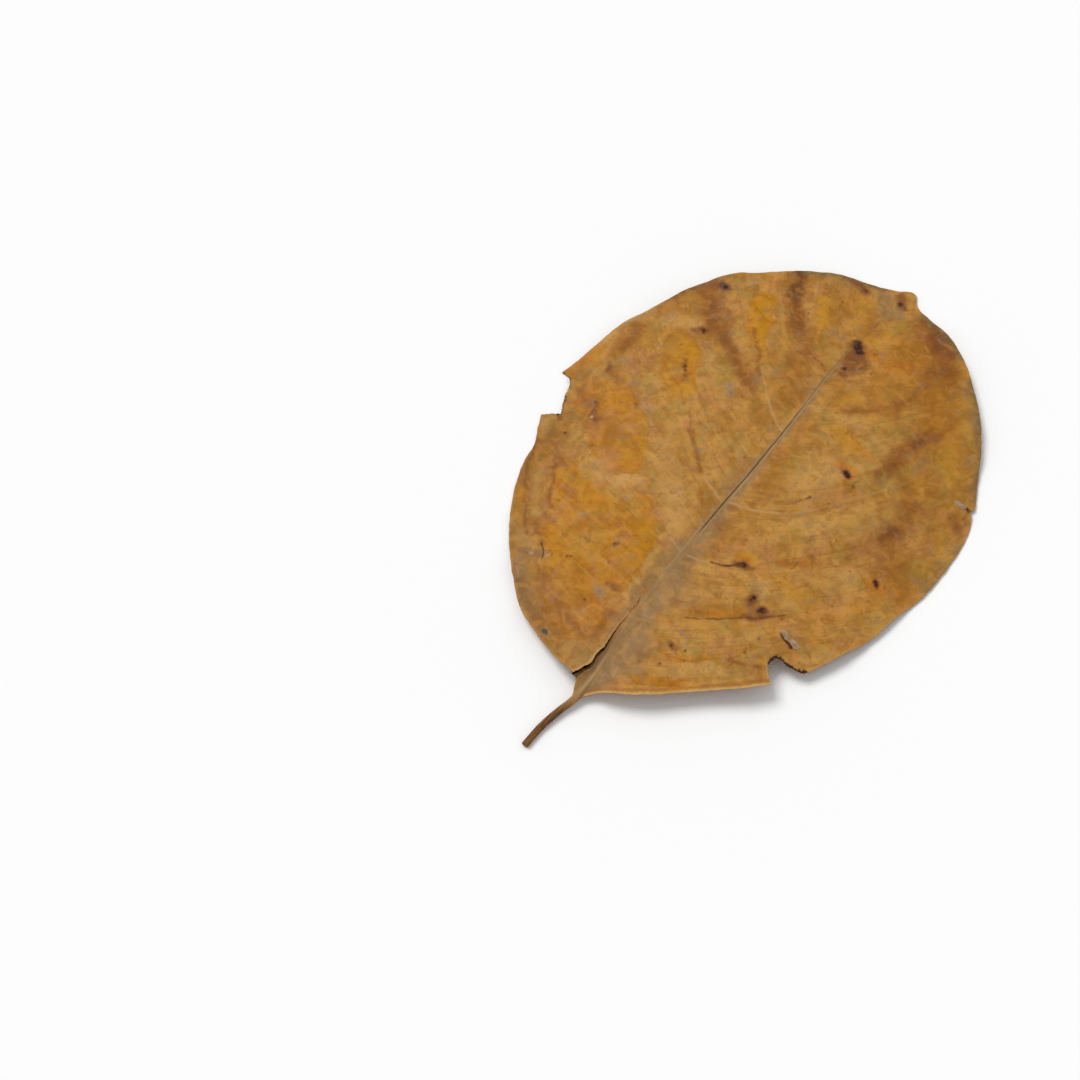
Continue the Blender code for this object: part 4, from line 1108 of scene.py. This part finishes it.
def tone(red, green, blue):
    """The colour under the gloss that looks like these display values, from 0 to 255, in soft light."""
    def linear(value):
        value /= 255.0
        return value / 12.92 if value <= 0.04045 else ((value + 0.055) / 1.055) ** 2.4
    return (*(max(0.002, linear(value) - GLOSS) for value in (red, green, blue)), 1.0)


class Shade:
    """Short ways to add nodes to one material."""

    def __init__(self, name):
        self.material = bpy.data.materials.new(name)
        self.material.use_nodes = True
        self.tree = self.material.node_tree
        self.shader = self.tree.nodes["Principled BSDF"]

    def put(self, socket, value):
        if isinstance(value, bpy.types.NodeSocket):
            self.tree.links.new(value, socket)
        else:
            socket.default_value = value

    def node(self, kind, output, inputs=None, **settings):
        """The output of a new node with these settings and inputs."""
        node = self.tree.nodes.new("ShaderNode" + kind)
        for name, value in settings.items():
            setattr(node, name, value)
        for name, value in (inputs or {}).items():
            self.put(node.inputs[name], value)
        return node.outputs[output]

    def position(self):
        """Where a point lies on the object, in metres."""
        return self.node("TexCoord", "Object")

    def field(self, name, output="Fac"):
        return self.node("Attribute", output, attribute_name=name)

    def math(self, operation, *values, clamp=False):
        return self.node("Math", 0, dict(enumerate(values)), operation=operation, use_clamp=clamp)

    def times(self, product, *others):
        for other in others:
            product = self.math("MULTIPLY", product, other, clamp=True)
        return product

    def apart(self, first, second):
        return self.math("ABSOLUTE", self.math("SUBTRACT", first, second))

    def weighted(self, *parts):
        """The sum of values, each times its weight."""
        products = [self.math("MULTIPLY", value, weight) for value, weight in parts]
        total = products[0]
        for product in products[1:]:
            total = self.math("ADD", total, product)
        return total

    def vector(self, operation, first, second):
        return self.node("VectorMath", 0, {0: first, 1: second}, operation=operation)

    def ramp(self, value, low, high, to_low=0.0, to_high=1.0):
        inputs = {"Value": value, "From Min": low, "From Max": high, "To Min": to_low, "To Max": to_high}
        return self.node("MapRange", 0, inputs, interpolation_type="SMOOTHSTEP")

    def mix(self, first, second, share):
        return self.node("Mix", 2, {0: share, 6: first, 7: second}, data_type="RGBA")

    def tints(self, colour, *rows):
        """Lay paints over the colour one by one: (paint, share)."""
        for paint, share in rows:
            colour = self.mix(colour, paint, share)
        return colour

    def layers(self, colour, *rows):
        """Lay paints over the colour one by one: (paint, value, where it starts, where it is full, most)."""
        for paint, value, low, high, most in rows:
            colour = self.mix(colour, paint, self.ramp(value, low, high, 0.0, most))
        return colour

    def noise(self, vector, scale, detail=3.0, roughness=0.5, distortion=0.0):
        inputs = {"Vector": vector, "Scale": scale, "Detail": detail, "Roughness": roughness}
        return self.node("TexNoise", "Fac", {**inputs, "Distortion": distortion})

    def cells(self, vector):
        """Distance to the edges of irregular cells."""
        inputs = {"Vector": vector, "Scale": 1.0}
        return self.node("TexVoronoi", "Distance", inputs, feature="DISTANCE_TO_EDGE")

    def finish(self, colour, roughness, relief, depth):
        """Join all to the shader, with the relief as bumps of that depth in metres."""
        bumps = self.node("Bump", "Normal", {"Distance": depth, "Height": relief})
        for name, value in (("Base Color", colour), ("Roughness", roughness),
                            ("Specular IOR Level", SPECULAR_LEVEL), ("Normal", bumps)):
            self.put(self.shader.inputs[name], value)
        return self.material


TAN = tone(177, 128, 60)
TAN_LIGHT = tone(192, 144, 73)
TAN_DEEP = tone(158, 108, 48)
ROSY = tone(178, 122, 78)
SAGE = tone(160, 132, 72)
AMBER = tone(159, 104, 38)
OLIVE = tone(166, 132, 60)
GOLD = tone(180, 121, 36)
GOLD_LIGHT = tone(192, 136, 48)
GOLD_DEEP = tone(162, 98, 28)
YELLOW = tone(186, 128, 18)
BROWN = tone(138, 86, 44)
DUSK = tone(104, 70, 44)
RUSTY = tone(118, 70, 44)
ORANGE = tone(184, 112, 38)
PALE = tone(194, 149, 86)
GREY = tone(144, 114, 78)
LILAC = tone(154, 126, 98)
WHITISH = tone(186, 164, 134)
SPOT = tone(56, 42, 37)
SPOT_BROWN = tone(88, 56, 34)
SHADED = tone(114, 64, 8)
LIT = tone(220, 155, 72)
MOULD = tone(86, 74, 58)
MOSS = tone(114, 98, 68)
PAINTED_SHADE = tone(112, 76, 38)
LINE_DARK = tone(84, 58, 40)
VEIN_PALE = tone(188, 148, 96)
MIDRIB_PALE = tone(174, 144, 104)
RIDGE_HIGHLIGHT = tone(174, 150, 102)
MIDRIB_MID = tone(150, 120, 84)
MIDRIB_SHADE = tone(132, 102, 68)
STALK_BROWN = tone(132, 94, 58)
STALK_DARK = tone(92, 62, 40)
UNDER = tone(160, 118, 72)
UNDER_LIGHT = tone(180, 138, 88)
UNDER_RIB = tone(186, 148, 98)
UNDER_EDGE = tone(138, 98, 60)
RIM_LIGHT = tone(190, 142, 86)
CURL_HIGHLIGHT = tone(204, 166, 110)
TORN_EDGE = tone(62, 44, 36)
PEELED_DARK = tone(146, 116, 82)
PEELED_LIGHT = tone(176, 148, 118)
TISSUE_DARK = tone(112, 86, 62)
TISSUE_LIGHT = tone(148, 118, 90)
TISSUE_SHADOW = tone(44, 32, 26)
FIBRE_DARK = tone(128, 96, 62)
FIBRE_LIGHT = tone(184, 148, 104)


def leaf_material():
    s = Shade("dry_leaf_skin")
    where = s.position()
    elsewhere = s.vector("ADD", where, (0.7, 0.3, 0.0))
    broad = s.noise(where, 60.0, 3.0, 0.55)
    blotch = s.noise(where, 170.0, 4.0, 0.6, 0.5)
    mottle = s.noise(where, 480.0, 5.0, 0.62, 0.3)
    grain = s.noise(where, 1500.0, 3.0, 0.6)
    net = s.field("net", "Vector")
    along = s.field("along")
    rail = s.field("rail")
    rib = s.field("rib")
    beside = s.math("ABSOLUTE", rail)
    under = s.ramp(s.field("under"), 0.45, 0.55)
    wobble = s.math("ADD", s.math("MULTIPLY_ADD", blotch, 0.9, -0.45),
                    s.math("MULTIPLY_ADD", mottle, 1.1, -0.55))

    def broken(field, spread):
        """The field, with its edges broken up by the noise."""
        return s.math("MULTIPLY_ADD", wobble, spread, s.field(field))

    def wash(colour, *rows, high=0.92, spread=0.5):
        """Lay each paint where its field is strong."""
        for paint, field, most in rows:
            colour = s.layers(colour, (paint, broken(field, spread), 0.0, high, most))
        return colour

    def cloudy(shift, *settings):
        """Noise from a place of its own."""
        return s.noise(s.vector("ADD", where, shift), *settings)

    def netted(size, width):
        """The lines of a net that runs with the side veins."""
        return s.ramp(s.cells(s.vector("MULTIPLY", net, size)), 0.0, width, 1.0, 0.0)

    # Upper skin
    uneven = s.weighted((broad, 0.4), (blotch, 0.6))
    patchy = s.noise(elsewhere, 210.0, 3.0, 0.5, 1.4)
    lean = cloudy((0.2, 0.6, 0.5), 130.0, 4.0, 0.55, 0.8)
    fibre = s.noise(s.vector("MULTIPLY", net, (0.95, 0.10, 1.0)), 1.0, 4.0, 0.6, 0.2)
    colour = s.layers(
        TAN,
        (TAN_LIGHT, uneven, 0.50, 0.64, 0.8),
        (TAN_DEEP, uneven, 0.49, 0.36, 0.7),
        (TAN_DEEP, patchy, 0.48, 0.41, 0.54),
        (PALE, patchy, 0.53, 0.60, 0.44),
        (ROSY, lean, 0.52, 0.62, 0.56),
        (SAGE, lean, 0.48, 0.38, 0.56),
        (TAN_DEEP, fibre, 0.48, 0.36, 0.55),
        (PALE, fibre, 0.54, 0.66, 0.34),
    )
    colour = wash(colour, (AMBER, "amber", 0.85), (OLIVE, "olive", 0.7), (PALE, "pale", 0.8),
                  (GOLD_LIGHT, "golden", 0.85))
    colour = wash(colour, (GREY, "grey", 0.9), high=1.0, spread=0.45)

    # Clear golden skin, with a deeper line along its edge
    ragged = broken("gold", 1.3)
    golden = s.layers(
        GOLD,
        (GOLD_LIGHT, s.weighted((blotch, 0.6), (mottle, 0.4)), 0.50, 0.62, 0.8),
        (GOLD_DEEP, s.weighted((blotch, 0.4), (mottle, 0.6)), 0.47, 0.36, 0.75),
        (GOLD_DEEP, patchy, 0.47, 0.40, 0.40),
        (GOLD_DEEP, fibre, 0.47, 0.36, 0.45),
    )
    golden = wash(golden, (AMBER, "amber", 0.7))
    golden = s.layers(
        golden,
        (ROSY, lean, 0.53, 0.64, 0.55),
        (OLIVE, lean, 0.47, 0.38, 0.35),
        (TAN_LIGHT, fibre, 0.55, 0.68, 0.45),
    )
    golden = wash(golden, (YELLOW, "yellow", 0.92))
    colour = s.layers(colour, (golden, ragged, -0.15, 0.30, 0.94))
    bank = s.ramp(s.apart(ragged, 0.25), 0.5, 0.1)
    bank = s.times(bank, s.ramp(s.noise(elsewhere, 130.0, 2.0), 0.48, 0.62, 0.0, 0.4))
    pale_fleck = s.ramp(cloudy((0.4, 0.1, 0.8), 640.0, 3.0, 0.6, 0.4), 0.58, 0.74)
    colour = s.tints(colour, (GOLD_DEEP, bank), (PALE, s.times(pale_fleck, 0.20)))

    # Stains; the brown and dusk bands among them are partly stain and partly painted shade of the blade's
    # undulations
    colour = wash(colour, (BROWN, "brown", 0.95), high=1.05, spread=0.38)
    colour = wash(colour, (ORANGE, "orange", 0.8))
    # Painted shade over the lower left of the blade and a few other places
    colour = wash(colour, (PAINTED_SHADE, "painted_shade", 0.42), high=1.0, spread=0.3)
    colour = wash(colour, (MOSS, "moss", 0.85), (RUSTY, "rusty", 0.85))
    colour = wash(colour, (DUSK, "dusk", 0.95), high=1.05, spread=0.38)
    colour = wash(colour, (LILAC, "lilac", 0.85))

    # Small flecks, in drifts, and the last light and shade of the crumpled skin
    drift = s.ramp(broad, 0.40, 0.62, 0.25, 1.0)
    rust_fleck = s.ramp(s.noise(elsewhere, 420.0, 5.0, 0.66, 0.8), 0.56, 0.66)
    stain_and_shade = s.math("MAXIMUM", s.field("brown"), s.field("orange"))
    brown_fleck = s.ramp(cloudy((0.0, 0.9, 0.4), 820.0, 3.0, 0.6, 0.6), 0.60, 0.72)
    colour = s.tints(
        colour,
        (AMBER, s.times(rust_fleck, drift, 0.68)),
        (RUSTY, s.times(rust_fleck, stain_and_shade, 0.55)),
        (BROWN, s.times(brown_fleck, 0.6)),
    )
    shading = cloudy((0.9, 0.2, 0.3), 290.0, 3.0, 0.5, 0.8)
    colour = s.layers(
        colour,
        (TAN_DEEP, grain, 0.52, 0.70, 0.30),
        (SHADED, shading, 0.50, 0.36, 0.19),
        (LIT, shading, 0.50, 0.64, 0.19),
    )

    # Fine net of veinlets, hardly seen, and the side veins, where they show, as pale lines that are partly
    # painted highlight, with painted shade beside them
    veinlet = netted((0.35, 0.62, 1.0), 0.10)
    colour = s.tints(
        colour,
        (PALE, s.times(veinlet, s.ramp(blotch, 0.42, 0.62, 0.0, 0.10))),
        (BROWN, s.times(s.field("vein_shade"), 0.55)),
        (VEIN_PALE, s.times(s.field("vein"), s.ramp(mottle, 0.36, 0.52, 0.35, 0.9))),
    )

    # Spots, each with a brown ring round a dark core, then mould and thin dark lines; some spots and lines
    # are painted shadow in holes, slits and cracks
    ring = broken("spot", 0.5)
    core = s.layers(SPOT, (SPOT_BROWN, mottle, 0.50, 0.66, 0.7))
    mouldy = broken("mould", 0.7)
    dark = broken("dark", 0.35)
    colour = s.layers(
        colour,
        (RUSTY, ring, 0.08, 0.48, 0.7),
        (core, ring, 0.42, 0.70, 0.97),
        (LILAC, mouldy, 0.02, 0.30, 0.5),
        (MOULD, mouldy, 0.20, 0.75, 0.95),
        (RUSTY, dark, 0.05, 0.45, 0.75),
        (LINE_DARK, dark, 0.40, 0.85, 0.95),
        (WHITISH, broken("whitish", 0.9), 0.15, 0.8, 0.85),
    )

    # Rim of the blade: a paler edge that is partly painted highlight, the curled edge's darker line and
    # painted highlight, and the dark torn edges
    rim = s.ramp(broken("edge", 0.8), 0.15, 0.75, 1.0, 0.0)
    rim = s.times(rim, s.ramp(s.field("moss"), 0.1, 0.5, 1.0, 0.0), s.ramp(broad, 0.42, 0.58, 0.1, 0.5))
    colour = s.tints(
        colour,
        (RIM_LIGHT, rim),
        (BROWN, s.times(s.field("curl_line"), 0.55)),
        # painted highlight on the curled edge and the lobe's lip
        (CURL_HIGHLIGHT, s.times(s.field("curl_highlight"), 0.85)),
        # dark torn edges, partly painted shadow along the torn corner
        (TORN_EDGE, s.ramp(broken("torn", 0.5), 0.10, 0.60)),
    )

    # Midrib and stalk
    streaks = s.noise(s.vector("MULTIPLY", where, (2600.0, 160.0, 400.0)), 1.0, 3.0, 0.6)
    rib_tone = s.layers(MIDRIB_MID, (MIDRIB_PALE, streaks, 0.48, 0.64, 0.6),
                        (MIDRIB_SHADE, streaks, 0.46, 0.34, 0.4))
    from_base = s.math("ADD", s.ramp(along, 3.0, 9.0, 0.9, 0.25), s.ramp(along, 24.0, 54.0, 0.0, 0.75))
    stalk_tone = s.layers(STALK_DARK, (STALK_BROWN, streaks, 0.36, 0.58, 1.0))
    colour = s.tints(
        colour,
        (rib_tone, s.times(s.ramp(beside, 0.2, 1.2, 1.0, 0.0), s.ramp(along, 84.0, 122.0, 0.75, 0.1),
                           from_base)),
        # painted highlight along the right side of the midrib, strongest beside its groove
        (MIDRIB_PALE, s.times(s.ramp(s.apart(rail, 0.55), 0.40, 0.15), s.ramp(streaks, 0.36, 0.5),
                              s.ramp(along, 118.0, 100.0, 0.0, 0.75), s.ramp(along, 40.0, 54.0, 0.2, 1.0))),
        # painted highlight on the midrib's crest near the base
        (RIDGE_HIGHLIGHT, s.times(s.ramp(beside, 0.50, 0.10), s.ramp(along, 15.0, 5.0, 0.0, 0.6),
                             s.ramp(along, -4.0, 0.0))),
        # painted shade in the midrib's groove
        (LINE_DARK, s.field("groove")),
        (stalk_tone, s.ramp(along, -3.0, -9.0)),
    )

    # Underside
    ladder = netted((0.16, 0.45, 1.0), 0.09)
    rib_below = s.math("MAXIMUM", s.ramp(rib, 0.2, 0.6), s.ramp(beside, 0.7, 1.0, 1.0, 0.0))
    lower = s.layers(UNDER, (UNDER_LIGHT, blotch, 0.40, 0.62, 1.0), (TAN_DEEP, fibre, 0.50, 0.38, 0.5),
                     (ROSY, lean, 0.52, 0.62, 0.4))
    lower = s.tints(
        lower,
        (BROWN, s.times(s.field("brown"), 0.45)),
        (BROWN, s.times(brown_fleck, 0.5)),
        (UNDER_RIB, s.times(ladder, s.ramp(blotch, 0.40, 0.60, 0.15, 0.45))),
        (UNDER_RIB, s.times(veinlet, 0.14)),
        (UNDER_EDGE, s.times(s.ramp(s.apart(rib, 0.16), 0.14, 0.02), 0.4)),
        (UNDER_RIB, s.times(rib_below, s.ramp(mottle, 0.36, 0.60, 0.55, 0.85))),
        (stalk_tone, s.ramp(along, 2.0, -4.0)),
        (SPOT, s.ramp(ring, 0.30, 0.60, 0.0, 0.7)),
    )

    rough = s.math("ADD", s.ramp(mottle, 0.35, 0.65, 0.50, 0.66), s.math("MULTIPLY", under, 0.14))
    relief = s.weighted((mottle, 0.75), (grain, 0.22), (veinlet, s.ramp(under, 0.0, 1.0, 0.05, 0.35)),
                        (ladder, s.ramp(under, 0.0, 1.0, 0.05, 0.9)),
                        (streaks, s.ramp(along, 1.0, -4.0, 0.15, 1.2)))
    return s.finish(s.mix(colour, lower, under), rough, relief, 0.00012)


def streaked_material(name, grain, dark, light, shadow_tone=None):
    """Dry fibrous tissue in two tones, and a painted shadow tone where the piece runs in under the lobe."""
    s = Shade(name)
    streaks = s.noise(s.vector("MULTIPLY", s.position(), grain), 1.0, 4.0, 0.6)
    colour = s.layers(dark, (light, streaks, 0.38, 0.62, 1.0))
    if shadow_tone:
        colour = s.layers(colour, (shadow_tone, s.field("dark"), -0.08, 0.12, 1.0))
    return s.finish(colour, 0.75, streaks, 0.00008)


def make_floor():
    """A pale floor, whose far edge rises a little so that it also shows behind the leaf in low views."""
    s = Shade("pale_floor")
    s.shader.inputs["Base Color"].default_value = (0.97, 0.97, 0.97, 1.0)
    s.shader.inputs["Roughness"].default_value = 0.9
    s.shader.inputs["Specular IOR Level"].default_value = 0.0
    corners = []
    for radius, height in FLOOR_RINGS:
        for i in range(FLOOR_SIDES):
            angle = math.tau * i / FLOOR_SIDES
            corners.append((radius * math.cos(angle), radius * math.sin(angle), height))
    faces = [tuple(range(FLOOR_SIDES))]
    for i in range(FLOOR_SIDES):
        after = (i + 1) % FLOOR_SIDES
        faces.append((i, i + FLOOR_SIDES, after + FLOOR_SIDES, after))
    mesh = bpy.data.meshes.new("floor")
    mesh.from_pydata(corners, [], faces)
    mesh.materials.append(s.material)
    floor = place("floor", mesh)
    floor.location.z = FLOOR_HEIGHT
    return floor


def aim(item, target):
    item.rotation_mode = "QUATERNION"
    item.rotation_quaternion = (Vector(target) - item.location).to_track_quat("-Z", "Y")


def make_camera():
    camera = bpy.data.cameras.new("camera")
    camera.lens = CAMERA_LENS
    camera.sensor_width = SENSOR_WIDTH
    item = place("camera", camera)
    item.location = CAMERA_PLACE
    aim(item, CAMERA_TARGET)
    bpy.context.scene.camera = item


def make_studio():
    """White surroundings, and a soft sun above and a little to the left, as seen by the camera."""
    world = bpy.data.worlds.new("studio")
    bpy.context.scene.world = world
    world.use_nodes = True
    background = world.node_tree.nodes["Background"]
    background.inputs["Color"].default_value = (1.0, 1.0, 1.0, 1.0)
    background.inputs["Strength"].default_value = WORLD_STRENGTH
    light = bpy.data.lights.new("key", "SUN")
    light.energy = SUN_STRENGTH
    light.angle = SUN_ANGLE
    item = place("key", light)
    item.location = SUN_DIRECTION
    aim(item, (0.0, 0.0, 0.0))
    bpy.context.scene.view_settings.view_transform = "Standard"


blade_edge = blade_outline()
blade = make_leaf(blade_edge, leaf_material())
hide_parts("leaf")
peeled = streaked_material("peeled_skin", GRAIN_ALONG_U, PEELED_DARK, PEELED_LIGHT)
tissue = streaked_material("torn_tissue", GRAIN_ALONG_V, TISSUE_DARK, TISSUE_LIGHT, TISSUE_SHADOW)
fibre = streaked_material("dry_fibre", GRAIN_ALONG_V, FIBRE_DARK, FIBRE_LIGHT)
pieces = [
    blade,
    make_ledge(blade_edge, tissue),
    *(make_flake(*flake, blade_edge, peeled) for flake in FLAKES),
    make_fibres(blade_edge, fibre),
]
for piece in pieces:
    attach(piece, "root")
make_floor()
make_studio()
make_camera()
